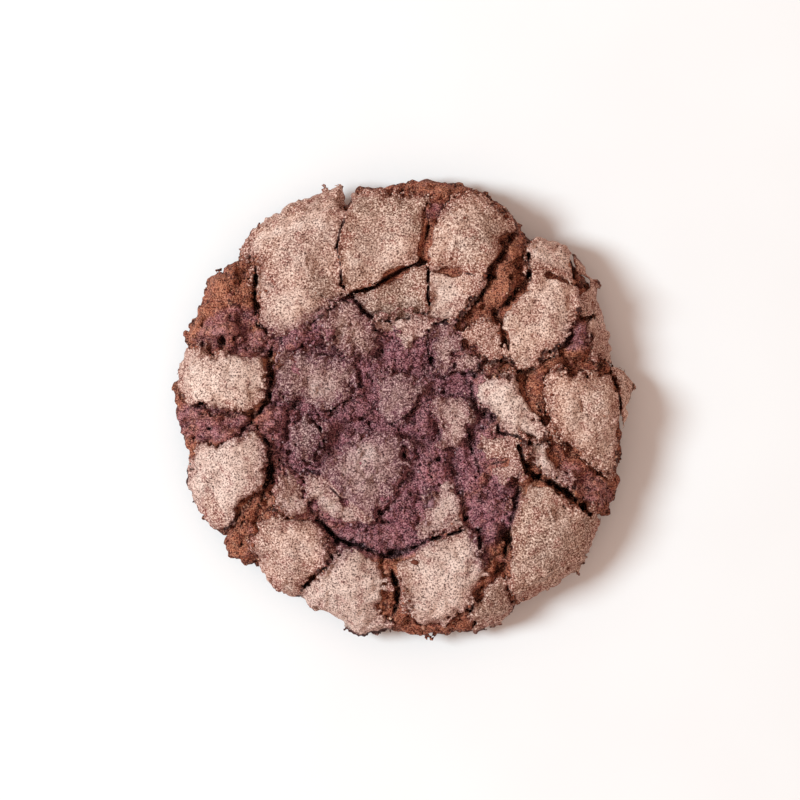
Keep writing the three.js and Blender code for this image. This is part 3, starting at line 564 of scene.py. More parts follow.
# Of the plates given: distance in from the nearest one's edge, its top, how mauve and how pale it
# is, and the distance to where the next plate takes over; each bends down under those after it
def plateMaps(plates, setting):
    edge, second = np.full((2, *gx.shape), -30, np.float32)
    top, mauve, pale = dome.copy(), np.zeros_like(dome), np.zeros_like(dome)
    overRim = np.clip(crust["overRim"] - rim, 0, 3)
    shaded = sum(a * smoothStep(-0.6, 0.8, ovalAt(gx, gy, m, h, t)) for m, h, t, a in shades)
    for k, (lift, lean, itsMauve, itsPale, outline) in enumerate(plates):
        mx, my = np.mean(outline, axis=0)
        inside = insideOf(gx, gy, outline)
        grown = crust["grown"] + overRim * smoothStep(-1.1, -0.4, inside)
        over, under = sharedSides(outline, plates[:k]), sharedSides(outline, plates[k + 1 :])
        bent = insideOf(gx, gy, outline, ~over & ~under)
        shared = insideOf(gx, gy, outline, ~over & under)
        bent, shared = (np.where(d < inside - 0.01, -d, d) for d in (bent, shared))
        bent = np.minimum(bent, shared + crust["sharedEdge"]) + grown + ragged
        inside = inside + grown
        nearer = inside > edge
        raised = lift + lean[0] * np.clip(gx - mx, -9, 9) + lean[1] * np.clip(gy - my, -9, 9)
        for drop, within in setting["drops"]:
            raised = raised - drop * np.exp(-np.maximum(bent, 0) / within)
        top = np.where(nearer, dome + setting["lift"] + raised, top)
        mauve = np.where(nearer, itsMauve, mauve)
        pale = np.where(nearer, itsPale + shaded, pale)
        second = np.maximum(second, np.minimum(inside, edge))
        edge = np.maximum(edge, inside)
    joined = smoothStep(-0.3, 0.4, second)  # two plates that touch leave no hole between them
    seam = (edge - second) / 2
    edge = edge + 1.2 * joined + ragged * (1 - joined)
    return {"edge": edge, "top": top, "mauve": mauve, "pale": pale, "seam": seam}


# Distance from the nearest crack, and its width and depth there
def crackMaps():
    gap = np.full(gx.shape, 30, np.float32)
    width, depth = np.ones_like(gap), np.ones_like(gap)
    jagged = sum(d * softNoise((gx, gy), s, 45 + i) for i, (s, d) in enumerate(jags["along"]))
    for itsWidth, itsDepth, way in cracks:
        away = crackGap(gx, gy, itsWidth, way) + (0.15 + 0.35 * itsWidth) * jagged
        nearer = away < gap
        width = np.where(nearer, itsWidth, width)
        depth = np.where(nearer, itsDepth, depth)
        gap = np.minimum(gap, away)
    for middle, itsWidth in pits:
        away = np.hypot(gx - middle[0], gy - middle[1]) - itsWidth / 2 + 0.5 * ragged
        nearer = away < gap
        width = np.where(nearer, itsWidth, width)
        depth = np.where(nearer, 4, depth)
        gap = np.minimum(gap, away)
    return gap, width, depth


# The underside of a crust, whose thickness counts square to its slope
def underside(plates, setting):
    return plates["top"] - setting["thickness"] * slopeOf(plates["top"], 3)


def gullyMap(plates, depth):
    risingX, risingY = np.gradient(blurred(plates["edge"], 2), mapSpacing)
    facing = -(risingX * gully["towards"][0] + risingY * gully["towards"][1])
    share = gully["least"] + (1 - gully["least"]) * smoothStep(0, 0.8, facing)
    share = share * smoothStep(-0.8, 0.3, softNoise((gx, gy), gully["spacing"], 65))
    return depth * share * smoothStep(-gully["width"], -0.3 * gully["width"], plates["edge"])


# Height of the bare crumb, and of what carries the plates where they lie
def crumbMap():
    low = dome - crumb["rise"] + (crumb["rise"] - crumb["middleRise"]) * sunk
    for middle, halves, turn, lift in crumbHeaps:
        low = low + lift * np.clip(ovalAt(gx, gy, middle, halves, turn), 0, 1) ** 0.7
    for i, (spacing, swell) in enumerate(crumb["swells"]):
        low = low + swell * softNoise((gx, gy), spacing, 70 + i)
    low = low - np.maximum(gullyMap(outer, gully["depth"]), gullyMap(inner, gully["middleDepth"]))
    carried = np.maximum(low, underside(inner, patches) + 0.2)
    low = low + (carried - low) * smoothStep(*crumb["bank"], inner["edge"])
    carried = underside(outer, crust) + 0.2
    return low + (carried - low) * smoothStep(*crumb["bank"], outer["edge"])


rimPlateCount = 21
sunk = sunkMap()
dome = domeMap()
outer = plateMaps(crustPlates[:rimPlateCount], crust)
inner = plateMaps(crustPlates[rimPlateCount:], patches)
gap, gapWidth, gapDepth = crackMaps()
crumbTop = crumbMap()
purple = np.zeros_like(dome)
for middle, halves, turn, strength in purplePatches:
    purple = np.maximum(purple, strength * smoothStep(-0.35, 0.45, ovalAt(gx, gy, middle, halves, turn)))


# What is seen from above: the crumb, and the plates and patches where they cover it
skyline, cover = crumbTop.copy(), np.zeros_like(crumbTop)
for plates in (inner, outer):
    shows = (plates["edge"] > 0) & (plates["top"] > skyline) & (gap > 0)
    skyline = np.where(shows, plates["top"], skyline)
    cover = np.where(plates["edge"] > 0.7, np.maximum(cover, plates["top"]), cover)
skyline = skyline - np.clip(-gap * 2 / gapWidth, 0, 1) * gapDepth
# How far a place lies under what surrounds it; the materials paint shade into the recesses and highlights onto what
# stands out by it
cavity = 0.6 * blurred(skyline, 1.6) + 0.4 * blurred(skyline, 4) - skyline
print("cookie: the maps are made")


# The zero surface of a field of distances: one point in each cell that it crosses, and the
# four-sided faces that join the points of neighbouring cells
def surfaceOf(field, starts, voxel):
    inside = field < 0
    count = np.zeros(tuple(n - 1 for n in field.shape), np.int8)
    for corner in np.ndindex(2, 2, 2):
        count += inside[tuple(slice(c, n - 1 + c) for c, n in zip(corner, field.shape))]
    cells = np.nonzero((count > 0) & (count < 8))
    numbers = np.full(count.shape, -1, np.int32)
    numbers[cells] = np.arange(len(cells[0]))
    values = {c: field[tuple(a + s for a, s in zip(cells, c))] for c in np.ndindex(2, 2, 2)}
    total = np.zeros((len(cells[0]), 3), np.float32)
    crossings = np.zeros(len(cells[0]), np.float32)
    for corner in np.ndindex(2, 2, 2):
        for axis in range(3):
            if corner[axis]:
                continue
            other = tuple(c + (k == axis) for k, c in enumerate(corner))
            crosses = (values[corner] < 0) != (values[other] < 0)
            rise = np.where(crosses, values[corner] - values[other], 1)
            share = np.where(crosses, values[corner] / rise, 0)
            for k in range(3):
                total[:, k] += crosses * (share if k == axis else corner[k])
            crossings += crosses
    points = (np.array(cells, np.float32).T + total / crossings[:, None]) * voxel + starts
    faces = []
    for axis in range(3):
        a, b = (axis + 1) % 3, (axis + 2) % 3
        near = [slice(1, n - 1) for n in field.shape]
        far = list(near)
        near[axis], far[axis] = slice(0, -1), slice(1, None)
        first, second = inside[tuple(near)], inside[tuple(far)]
        edges = np.nonzero(first != second)
        at = [edges[k] + (0 if k == axis else 1) for k in range(3)]
        around = []
        for da, db in ((1, 1), (0, 1), (0, 0), (1, 0)):
            cell = list(at)
            cell[a], cell[b] = at[a] - da, at[b] - db
            around.append(numbers[tuple(cell)])
        quads = np.stack(around, 1)
        outward = first[edges]
        faces.append(np.where(outward[:, None], quads, quads[:, ::-1]))
    return points, np.concatenate(faces)


# Leaves out the small bits that hang free
def withoutScraps(points, faces, least=400):
    label = np.arange(len(points))
    while True:
        before = label.copy()
        lowest = label[faces].min(1)
        for k in range(4):
            np.minimum.at(label, faces[:, k], lowest)
        label = label[label]
        if (label == before).all():
            break
    sizes = np.bincount(label, minlength=len(points))
    kept = sizes[label] >= least
    number = np.cumsum(kept) - 1
    return points[kept], number[faces[kept[faces[:, 0]]]]


# A mesh of points in mm, thinned to the number of triangles given
def pieceOf(name, points, faces, triangles):
    mesh = bpy.data.meshes.new(name)
    mesh.vertices.add(len(points))
    placed = (points - [*outlineMiddle, 0]) * mm
    mesh.vertices.foreach_set("co", placed.astype(np.float32).ravel())
    mesh.loops.add(faces.size)
    mesh.loops.foreach_set("vertex_index", faces.astype(np.int32).ravel())
    mesh.polygons.add(len(faces))
    mesh.polygons.foreach_set("loop_start", np.arange(0, faces.size, faces.shape[1], dtype=np.int32))
    mesh.update(calc_edges=True)
    piece = bpy.data.objects.new(name, mesh)
    bpy.context.collection.objects.link(piece)
    made = len(faces) * (faces.shape[1] - 2)
    if made > triangles:
        thin = piece.modifiers.new("thin", "DECIMATE")
        thin.ratio = triangles / made
        seen = piece.evaluated_get(bpy.context.evaluated_depsgraph_get())
        piece.data = bpy.data.meshes.new_from_object(seen)
        piece.data.name = name
        piece.modifiers.clear()
    piece.data.polygons.foreach_set("use_smooth", np.ones(len(piece.data.polygons), bool))
    print("cookie:", name, made, "triangles thinned to", len(piece.data.polygons))
    return piece


# Where the points of a piece are, in mm in the maps' frame
def placesOf(piece):
    places = np.zeros(len(piece.data.vertices) * 3, np.float32)
    piece.data.vertices.foreach_get("co", places)
    return (places.reshape(-1, 3) / mm + [*outlineMiddle, 0]).astype(np.float32).T


# Writes a value for each point, which the material reads by name
def addValues(piece, **values):
    for name, value in values.items():
        layer = piece.data.attributes.new(name, "FLOAT", "POINT")
        layer.data.foreach_set("value", value.astype(np.float32))


# Evaluates a shape on a grid, then roughens it close to its surface only, which is all that counts
def meshField(shapeAt, roughAt, roughen, voxel, low, high, thinned=None, reach=1.8):
    xs = np.arange(low[0], high[0], voxel, dtype=np.float32)
    ys = np.arange(low[1], high[1], voxel, dtype=np.float32)
    zs = np.arange(low[2], high[2], voxel, dtype=np.float32)
    x, y = np.meshgrid(xs, ys, indexing="ij")
    field = shapeAt(x, y, zs)
    near = np.nonzero(np.abs(field) < reach)
    points = np.array([xs[near[0]], ys[near[1]], zs[near[2]]])
    amount = roughAt(*points)
    rough = amount > 0.06
    near, points = tuple(n[rough] for n in near), points[:, rough]
    field[near] = roughen(points, field[near], amount[rough])
    if thinned:
        soft = field
        for axis in (0, 1, 2, 0, 1, 2):
            soft = (np.roll(soft, 1, axis) + 2 * soft + np.roll(soft, -1, axis)) / 4
        field = np.maximum(field, soft - thinned)
    points, faces = surfaceOf(field, np.array([low[0], low[1], low[2]], np.float32), voxel)
    return withoutScraps(points, faces)


def smoothMax(a, b, blend):
    h = np.clip(0.5 + (a - b) / (2 * blend), 0, 1)
    return b + (a - b) * h + blend * h * (1 - h)


# How far in from the rim the side has drawn at a height
def sideAt(z):
    low = np.clip(1 - z / body["sideHeight"], 0, 1)
    return body["footInset"] * low**1.8


gridLow, gridHigh = (-46.5, -46.5, -0.6), (46.5, 46.5, 18.6)


# The crust plates of the maps given, broken off at their edges and at the cracks
def crustShape(plates, setting):
    def shapeAt(x, y, z):
        edge, top = readMap(plates["edge"], x, y), readMap(plates["top"], x, y)
        slope = readMap(slopeOf(plates["top"], 3), x, y)
        over = (z[None, None, :] - top[:, :, None]) / slope[:, :, None]
        under = -over - setting["thickness"]
        undercut = 0.6 * np.clip(-over, 0, setting["thickness"])
        aside = np.maximum(-edge, -readMap(gap, x, y))[:, :, None] + undercut
        out = (sideAt(z)[None, None, :] - readMap(rim, x, y)[:, :, None]) * 0.8
        field = smoothMax(over, aside, 0.3)
        field = np.maximum(field, under)
        return np.maximum(field, out)

    return shapeAt


# Rough on top and at the broken edges, smooth underneath, where nobody sees it
def crustRoughness(plates, setting):
    def roughAt(x, y, z):
        nearEdge = 1 - smoothStep(0, 1.8, readMap(plates["edge"], x, y))
        hidden = smoothStep(0.5, 0.9, (readMap(plates["top"], x, y) - z) / setting["thickness"])
        atSide = 1 - smoothStep(0.5, 3, readMap(rim, x, y))
        return (1 + setting["edgeRelief"] * nearEdge) * (1 - 0.45 * atSide) * (1 - hidden)

    return roughAt


# Distance from the nearest crack, with its walls made rough
def gapAt(points):
    spacing, amount = jags["through"]
    return readMap(gap, points[0], points[1]) + amount * softNoise(points, spacing, 75)


def crustRelief(plates, setting, seed):
    def roughen(points, field, amount):
        for i, (size, depth) in enumerate(setting["relief"]):
            field = field - depth * amount * softNoise(points, size, seed + i)
        nearEdge = (1 - smoothStep(0.2, 1.5, readMap(plates["edge"], points[0], points[1]))) * amount
        crumbly = nearEdge > 0.1
        size, height = setting["crumbled"]
        away = grains(points[:, crumbly], size, seed + 9)[0] / size
        field[crumbly] -= height * nearEdge[crumbly] * (0.4 - 1.6 * away**2)
        return np.maximum(field, -0.1 - gapAt(points))

    return roughen


def makeCrust(name, plates, setting, seed, low, high):
    shape, roughness = crustShape(plates, setting), crustRoughness(plates, setting)
    roughen = crustRelief(plates, setting, seed)
    surface = meshField(shape, roughness, roughen, setting["voxel"], low, high)
    return pieceOf(name, *surface, setting["faces"])


middleLow = tuple(m - crumb["seam"][0] - 1 for m in body["sinkMiddle"]) + (5,)
middleHigh = tuple(m + crumb["seam"][0] + 1 for m in body["sinkMiddle"]) + (18.6,)
crustPiece = makeCrust("crustPlates", outer, crust, 80, (*gridLow[:2], 3.5), gridHigh)
patchPiece = makeCrust("stainedPatches", inner, patches, 90, (-27.5, -27.5, 7), (27.5, 24.5, 18.6))


# Crumb: what the plates lie on, the sunken middle with its stained crust, and the sides
def crumbShape(x, y, z):
    top = readMap(crumbTop, x, y)
    slope = readMap(slopeOf(blurred(crumbTop, 1), 2.2), x, y)
    over = (z[None, None, :] - top[:, :, None]) / slope[:, :, None]
    inset = crumb["inset"] * readMap(smoothStep(-0.5, 1, outer["edge"]), x, y)[:, :, None]
    out = sideAt(z)[None, None, :] + inset - readMap(rim, x, y)[:, :, None]
    field = smoothMax(over, out, 0.5)
    wide, deep = readMap(gapWidth, x, y)[:, :, None], readMap(gapDepth, x, y)[:, :, None]
    below = readMap(dome, x, y)[:, :, None] - z[None, None, :]
    cut = -(readMap(gap, x, y)[:, :, None] + np.maximum(below, 0) * wide / 2 / deep)
    field = smoothMax(field, cut * 0.8, 0.2)
    return np.maximum(field, -z[None, None, :])


# How rough the crumb is at each place: finer in the middle, and smooth where the crust hides it
def roughAmount(x, y, z):
    hidden = smoothStep(0.7, 1.1, readMap(cover, x, y) - z)
    amount = 1 + (crumb["middleAmount"] - 1) * readMap(purple, x, y)
    return amount * (1 - hidden) * smoothStep(-0.1, 1, z)


def lumpsAt(points, first=0):
    lumps = 0
    for i, (size, depth) in list(enumerate(crumb["lumps"]))[first:]:
        lumps = lumps + depth * (0.5 - 1.6 * (grains(points, size, 100 + i)[0] / size) ** 2)
    return lumps


def crumbRelief(points, field, amount):
    field = field - lumpsAt(points) * amount
    for i, (spacing, widest, share) in enumerate(crumb["pores"]):
        away, own = grains(points, spacing, 120 + i)
        radius = np.where(own < share, widest * (0.5 + own / share / 2), 0) * np.minimum(1.2 * amount, 1)
        field = np.where(radius > 0, smoothMax(field, radius - away, 0.15), field)
    x, y, z = points
    below = np.maximum(readMap(dome, x, y) - z, 0)
    crack = gapAt(points) + 0.1 + below * readMap(gapWidth, x, y) / 2 / readMap(gapDepth, x, y)
    return np.maximum(field, -crack)


def fromMiddle(x, y):
    return np.hypot(x - body["sinkMiddle"][0], y - body["sinkMiddle"][1])


def middleShape(x, y, z):
    away = (fromMiddle(x, y) - crumb["seam"][0])[:, :, None]
    return np.maximum(np.maximum(crumbShape(x, y, z), away), 6 - z[None, None, :])


def outerShape(x, y, z):
    away = (crumb["seam"][0] - crumb["seam"][1] - fromMiddle(x, y))[:, :, None]
    field = np.maximum(crumbShape(x, y, z), away)
    return np.maximum(field, sole["height"] - 0.4 - z[None, None, :])


def soleShape(x, y, z):
    return np.maximum(crumbShape(x, y, z), z[None, None, :] - sole["height"])


def makeCrumb(name, shape, setting, low, high):
    surface = meshField(shape, roughAmount, crumbRelief, setting["voxel"], low, high, crumb["thinned"])
    return pieceOf(name, *surface, setting["faces"])


middlePiece = makeCrumb("middleCrumb", middleShape, {**crumb, "voxel": crumb["middleVoxel"]}, middleLow, middleHigh)
outerPiece = makeCrumb("rimCrumb", outerShape, crumb, gridLow, gridHigh)
solePiece = makeCrumb("bakedSole", soleShape, sole, gridLow, (*gridHigh[:2], 3.4))


# What the materials need to know at each point
def addCrustValues(piece, plates, setting):
    x, y, z = placesOf(piece)
    edge = readMap(plates["edge"], x, y)
    stained = setting["fringe"] * readMap(purple, x, y) * (1 - smoothStep(0, 3, edge))
    addValues(
        piece,
        edge=np.minimum(edge, readMap(plates["seam"], x, y)) * setting["edgeScale"],
        under=readMap(plates["top"], x, y) - z,
        mauve=readMap(plates["mauve"], x, y) + stained,
        pale=readMap(plates["pale"], x, y) + setting["paleMiddle"] * smoothStep(1.2, 3, edge),
        cavity=readMap(cavity, x, y),
    )


def addCrumbValues(piece):
    points = placesOf(piece)
    x, y, z = points
    sizes = [size for size, depth in crumb["lumps"]]
    addValues(
        piece,
        # lump, hollow and cavity place the crumb's painted highlights and painted shade
        lump=lumpsAt(points, 1),
        own=0.6 * grains(points, sizes[1], 101)[1] + 0.4 * grains(points, sizes[2], 102)[1],
        hollow=np.maximum(readMap(crumbTop, x, y) - z, 0) / readMap(slopeOf(crumbTop, 6), x, y),
        cavity=readMap(cavity, x, y),
        purple=readMap(purple, x, y),
        fringe=smoothStep(-2.4, -0.3, readMap(np.maximum(outer["edge"], inner["edge"]), x, y)),
        height=z,
    )


# The height in metres of what is seen from above at a place in mm, or none
def heightAt(x, y):
    start = ((x - outlineMiddle[0]) * mm, (y - outlineMiddle[1]) * mm, 0.03)
    found = [p.ray_cast(start, (0, 0, -1)) for p in (crustPiece, patchPiece, middlePiece, outerPiece)]
    heights = [place[2] for hit, place, normal, index in found if hit]
    return max(heights) if heights else None


# Small uneven crumbs joined to one mesh, each pressed a little into what it lies on
def makeLooseCrumbs():
    maker = np.random.default_rng(7)
    ball = bmesh.new()
    bmesh.ops.create_icosphere(ball, subdivisions=1, radius=1)
    corners = np.array([v.co for v in ball.verts])
    sides = np.array([[v.index for v in f.verts] for f in ball.faces])
    ball.free()
    places = list(flecks)
    while len(places) < looseCrumbs["count"]:
        x, y = maker.uniform(-44, 44, 2)
        at = np.array([x]), np.array([y])
        edges = [readMap(plates["edge"], *at)[0] for plates in (outer, inner)]
        chance = math.exp(-min(abs(edge) for edge in edges) / looseCrumbs["nearEdge"])
        chance *= looseCrumbs["onCrust"] if max(edges) > 0.1 else 1
        if readMap(rim, *at)[0] < 0.7 or maker.uniform() > chance:
            continue
        low, high = looseCrumbs["radii"]
        places.append(((x, y), low + (high - low) * maker.uniform() ** 2.5, maker.uniform() ** 1.5))
    points, faces, tones = [], [], []
    for (x, y), radius, tone in places:
        height = heightAt(x, y)
        if height is None:
            continue
        swelled = corners * (1 + looseCrumbs["uneven"] * maker.uniform(-1, 1, (len(corners), 1)))
        swelled = swelled * maker.uniform(0.7, 1.2, 3) * radius
        faces.append(sides + len(points) * len(corners))
        points.append(swelled + [x, y, height / mm + radius * (1 - 2 * looseCrumbs["sunk"])])
        tones.append(np.full(len(corners), tone))
    piece = pieceOf("looseCrumbs", np.concatenate(points), np.concatenate(faces), 200000)
    x, y, z = placesOf(piece)
    addValues(piece, tone=np.concatenate(tones), purple=readMap(purple, x, y))
    return piece


addCrustValues(crustPiece, outer, crust)
addCrustValues(patchPiece, inner, patches)
for piece in (middlePiece, outerPiece, solePiece):
    addCrumbValues(piece)
crumbsPiece = makeLooseCrumbs()
print("cookie: the crust, crumb and loose crumbs are made")


def linear(hexColour):
    parts = [int(hexColour[i : i + 2], 16) / 255 for i in (1, 3, 5)]
    return [p / 12.92 if p <= 0.04045 else ((p + 0.055) / 1.055) ** 2.4 for p in parts] + [1]


# Adds a node to a material, with its settings and what goes into its sockets
def addNode(material, kind, sockets, **settings):
    node = material.node_tree.nodes.new("ShaderNode" + kind)
    for name, value in settings.items():
        setattr(node, name, value)
    for socket, value in sockets.items():
        if isinstance(value, bpy.types.NodeSocket):
            material.node_tree.links.new(value, node.inputs[socket])
        else:
            node.inputs[socket].default_value = value
    return node.outputs


# A pattern's scale for a feature of this size in mm
def perMetre(size):
    return 1 / (size * mm)


mixShare, mixBelow, mixAbove, mixResult = 0, 6, 7, 2  # sockets of a Mix node that mixes colours


# Lays a colour over the one below, from none where the mask is low to this strength where it is high
def layColour(material, below, mask, low, high, strength, colour):
    above = linear(colour) if isinstance(colour, str) else colour
    sockets = {"Value": mask, "From Min": low, "From Max": high, "To Max": strength}
    share = addNode(material, "MapRange", sockets)["Result"]
    sockets = {mixShare: share, mixBelow: below, mixAbove: above}
    return addNode(material, "Mix", sockets, data_type="RGBA")[mixResult]


# The masks that a material is painted with: values kept at the points of the piece, noise of the
# sizes given in mm, and masks whose edges are frayed by such noise
def makeMasks(material, paint):
    place = addNode(material, "TexCoord", {})["Object"]
    masks = {name: addNode(material, "Attribute", {}, attribute_name=name)["Fac"] for name in paint["kept"]}
    for name, (size, detail, rough) in paint["noises"].items():
        sockets = {"Vector": place, "Scale": perMetre(size), "Detail": detail, "Roughness": rough}
        masks[name] = addNode(material, "TexNoise", sockets)["Fac"]
    for name, (mask, noise, amount) in paint["frayed"].items():
        sockets = {"Value": masks[noise], "From Min": 0.3, "From Max": 0.7, "To Min": -amount, "To Max": amount}
        moved = addNode(material, "MapRange", sockets)["Result"]
        masks[name] = addNode(material, "Math", {0: masks[mask], 1: moved}, operation="ADD")["Value"]
    return masks


# A material from its table: each tone turns from the first to the second where it is stained, and
# the layers are laid over the base one after the other
def makeMaterial(name, paint):
    material = bpy.data.materials.new(name)
    material.use_nodes = True
    shader = material.node_tree.nodes["Principled BSDF"]
    for socket, value in paint["shader"].items():
        shader.inputs[socket].default_value = value
    masks = makeMasks(material, paint)
    stain, none, full = paint["stain"]
    tones = {
        key: layColour(material, linear(dry), masks[stain], none, full, 1, stained)
        for key, (dry, stained) in paint["tones"].items()
    }
    colour = tones["base"]
    for mask, none, full, strength, key in paint["layers"]:
        colour = layColour(material, colour, masks[mask], none, full, strength, tones[key])
    sockets = {"Strength": 1, "Distance": paint["gritDepth"] * mm, "Height": masks["grit"]}
    bump = addNode(material, "Bump", sockets)["Normal"]
    material.node_tree.links.new(colour, shader.inputs["Base Color"])
    material.node_tree.links.new(bump, shader.inputs["Normal"])
    return material


# Sugar crust that dried and crackled in the oven: matt, pale, salted with fine dark specks, and
# mauve where the moist crumb has stained it, with painted shade in its cracks
driedCrust = {
    "shader": {"Roughness": 0.85, "IOR": 1.45, "Specular IOR Level": 0.25},
    "kept": ("edge", "under", "mauve", "pale", "cavity"),
    "noises": {  # size in mm, detail and roughness of each; the finest grain is drawn coarser, to show
        "drift": (7, 3, 0.5),
        "wash": (5.3, 4, 0.55),
        "cloud": (3.7, 3, 0.5),
        "flush": (2.2, 4, 0.6),
        "fray": (4, 4, 0.6),
        "fineFray": (1.8, 4, 0.6),
        "grit": (0.34, 2, 0.7),
    },
    "frayed": {"heart": ("edge", "fray", 2), "border": ("edge", "fray", 1.3), "ring": ("edge", "fineFray", 0.7)},
    "stain": ("mauve", 0, 1),
    "tones": {
        "base": ("#a1705d", "#7c514f"),
        "drift": ("#d09f89", "#9b7570"),
        "blush": ("#9a5a4c", "#7a4853"),
        "palest": ("#ecd0c1", "#ccb0a7"),
        "dullest": ("#86614f", "#5f4041"),
        "dark": ("#3c1608", "#2a0c0e"),
        "light": ("#ffdfcc", "#dfb9b0"),
        "broken": ("#96523f", "#7a434c"),
        "shade": ("#2c0a08", "#22080f"),
    },
    "layers": [  # mask, none at, all at, strength, tone
        ("drift", 0.35, 0.65, 1, "drift"),
        ("cloud", 0.47, 0.3, 0.55, "palest"),
        ("heart", 1.5, 5, 0.35, "palest"),
        ("pale", 0, 0.5, 0.7, "palest"),
        ("pale", 0, -0.5, 0.7, "dullest"),
        ("wash", 0.5, 0.33, 0.5, "base"),
        ("flush", 0.52, 0.66, 0.7, "blush"),
        ("border", 2, 0.1, 0.65, "blush"),
        ("under", 0.8, 1.6, 0.9, "broken"),
        ("ring", 0.4, -0.2, 0.8, "broken"),
        ("grit", 0.49, 0.35, 0.95, "dark"),
        ("grit", 0.51, 0.64, 0.85, "light"),
        # painted shade: darker in the cracks and recesses
        ("cavity", 0.4, 1.6, 0.9, "shade"),
    ],
    "gritDepth": 0.22,  # mm
}

# Torn soft crumb: matt and grainy, rust brown where it baked dry and purple where it stayed moist, with painted
# highlights on its lumps and painted shade in its hollows
openCrumb = {
    "shader": {"Roughness": 0.75, "IOR": 1.45, "Specular IOR Level": 0.3},
    "kept": ("own", "purple", "lump", "hollow", "cavity", "height", "fringe"),
    "noises": {"fray": (2.5, 4, 0.6), "cloud": (3, 3, 0.5), "grit": (0.3, 1, 0.6)},
    "frayed": {"moist": ("purple", "fray", 0.35), "besideCrust": ("fringe", "fray", 0.35)},
    "stain": ("moist", 0.1, 0.9),
    "tones": {
        "base": ("#6f2b1c", "#602a35"),
        "grain": ("#a4543b", "#9a5963"),
        "lit": ("#cc8562", "#c89091"),
        "flushed": ("#ab604e", "#b0676f"),
        # painted shade: the dark tone that the hollows and recesses are darkened with
        "paintedShade": ("#2d0806", "#25060d"),
        "dark": ("#360a06", "#2b0812"),
        "light": ("#d39475", "#cd9797"),
        "baked": ("#744833", "#744833"),
    },
    "layers": [
        ("own", 0.1, 0.9, 1, "grain"),
        ("cloud", 0.52, 0.7, 0.55, "flushed"),
        ("besideCrust", 0.3, 1, 0.35, "flushed"),
        # painted highlight: paler on the tops of the grains and where the crumb stands out
        ("lump", 0.25, 0.7, 0.7, "lit"),
        ("cavity", 0, -1.4, 0.5, "lit"),
        # painted shade: darker between the grains, below the crumb's surface and in the recesses
        ("lump", -0.05, -0.6, 0.9, "paintedShade"),
        ("hollow", 0.6, 1.7, 0.9, "paintedShade"),
        ("cavity", 0.2, 1.5, 0.85, "paintedShade"),
        ("grit", 0.5, 0.35, 0.95, "dark"),
        ("grit", 0.51, 0.68, 0.8, "light"),
    ],
    "gritDepth": 0.35,
}

# The same crumb, browned by the hot tray towards its underside
brownedCrumb = {**openCrumb, "layers": [*openCrumb["layers"], ("height", 2.2, 0.4, 0.9, "baked")]}

# Dry bits that broke off: matt, dark red-brown to pale, as the crumb or crust that they come from
dryBits = {
    "shader": {"Roughness": 0.8, "IOR": 1.45, "Specular IOR Level": 0.25},
    "kept": ("tone", "purple"),
    "noises": {"grit": (0.3, 1, 0.6)},
    "frayed": {},
    "stain": ("purple", 0.3, 0.8),
    "tones": {
        "base": ("#5f2a1e", "#522a33"),
        "middling": ("#a8634b", "#8f5a62"),
        "palest": ("#dcb29a", "#b9989a"),
        "dark": ("#35130f", "#2d1016"),
    },
    "layers": [
        ("tone", 0, 0.6, 1, "middling"),
        ("tone", 0.6, 1, 1, "palest"),
        ("grit", 0.48, 0.35, 0.6, "dark"),
    ],
    "gritDepth": 0.15,
}


def finishPiece(piece, material):
    piece.data.materials.append(material)
    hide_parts("cookie")
    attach(piece, "root")


crustMaterial = makeMaterial("driedSugarCrust", driedCrust)
crumbMaterial = makeMaterial("openCrumb", openCrumb)
finishPiece(crustPiece, crustMaterial)
finishPiece(patchPiece, crustMaterial)
finishPiece(middlePiece, crumbMaterial)
finishPiece(outerPiece, crumbMaterial)
finishPiece(solePiece, makeMaterial("brownedCrumb", brownedCrumb))
finishPiece(crumbsPiece, makeMaterial("dryLooseCrumb", dryBits))
print("cookie: the crust and crumb have their materials")

floorSize = 1.6  # metres
lights = {
    "key": {"place": (-0.84, 0.05, 0.92), "size": 0.46, "watts": 17, "colour": "#dff2fb"},
    "room": {"colour": "#cbb5aa", "strength": 1},  # the pale warm room that lights the shadows
}


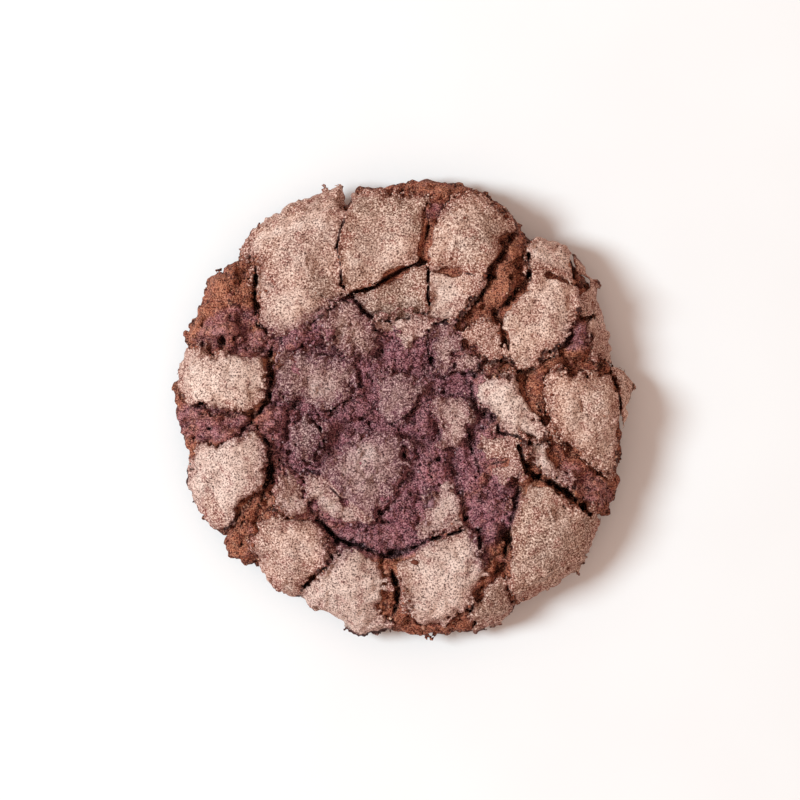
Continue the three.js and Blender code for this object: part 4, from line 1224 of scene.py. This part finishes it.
# Matt white board, with a tooth too fine to see but enough to spread its sheen
mattBoard = {
    "shader": {"Roughness": 0.9, "IOR": 1.45, "Specular IOR Level": 0.2},
    "kept": (),
    "noises": {"cloud": (40, 2, 0.5), "grit": (1.5, 2, 0.5)},  # drawn coarser than its real tooth
    "frayed": {},
    "stain": ("cloud", 0.3, 0.7),
    "tones": {"base": ("#f2efed", "#f4f2f0")},
    "layers": [],
    "gritDepth": 0.004,
}


def makeFloor():
    half = floorSize / 2
    mesh = bpy.data.meshes.new("floor")
    mesh.from_pydata([(-half, -half, 0), (half, -half, 0), (half, half, 0), (-half, half, 0)], [], [(0, 1, 2, 3)])
    floor = bpy.data.objects.new("floor", mesh)
    bpy.context.collection.objects.link(floor)
    mesh.materials.append(makeMaterial("mattBoard", mattBoard))


def makeLights():
    setting = lights["key"]
    lamp = bpy.data.lights.new("key", "AREA")
    lamp.shape, lamp.size = "DISK", setting["size"]
    lamp.energy, lamp.color = setting["watts"], linear(setting["colour"])[:3]
    holder = bpy.data.objects.new("key", lamp)
    holder.location = setting["place"]
    holder.rotation_euler = (-holder.location).to_track_quat("-Z", "Y").to_euler()
    bpy.context.collection.objects.link(holder)
    world = bpy.data.worlds.new("softRoom")
    world.use_nodes = True
    background = world.node_tree.nodes["Background"]
    background.inputs["Color"].default_value = linear(lights["room"]["colour"])
    background.inputs["Strength"].default_value = lights["room"]["strength"]
    bpy.context.scene.world = world


def makeCamera():
    camera = bpy.data.cameras.new("camera")
    size, scale = photo["size"], photo["pxPerMm"]
    away = photo["cameraHeight"] - photo["crustHeight"]
    camera.sensor_width = photo["sensor"]
    camera.lens = photo["sensor"] * away * scale / size
    holder = bpy.data.objects.new("camera", camera)
    middleX, middleY = photo["cookieMiddlePx"]
    x = (size / 2 - middleX) / scale - outlineMiddle[0]
    y = (middleY - size / 2) / scale - outlineMiddle[1]
    holder.location = (x * mm, y * mm, photo["cameraHeight"] * mm)
    bpy.context.collection.objects.link(holder)
    bpy.context.scene.camera = holder


makeFloor()
makeLights()
makeCamera()
bpy.context.scene.view_settings.view_transform = "Standard"
bpy.context.view_layer.update()
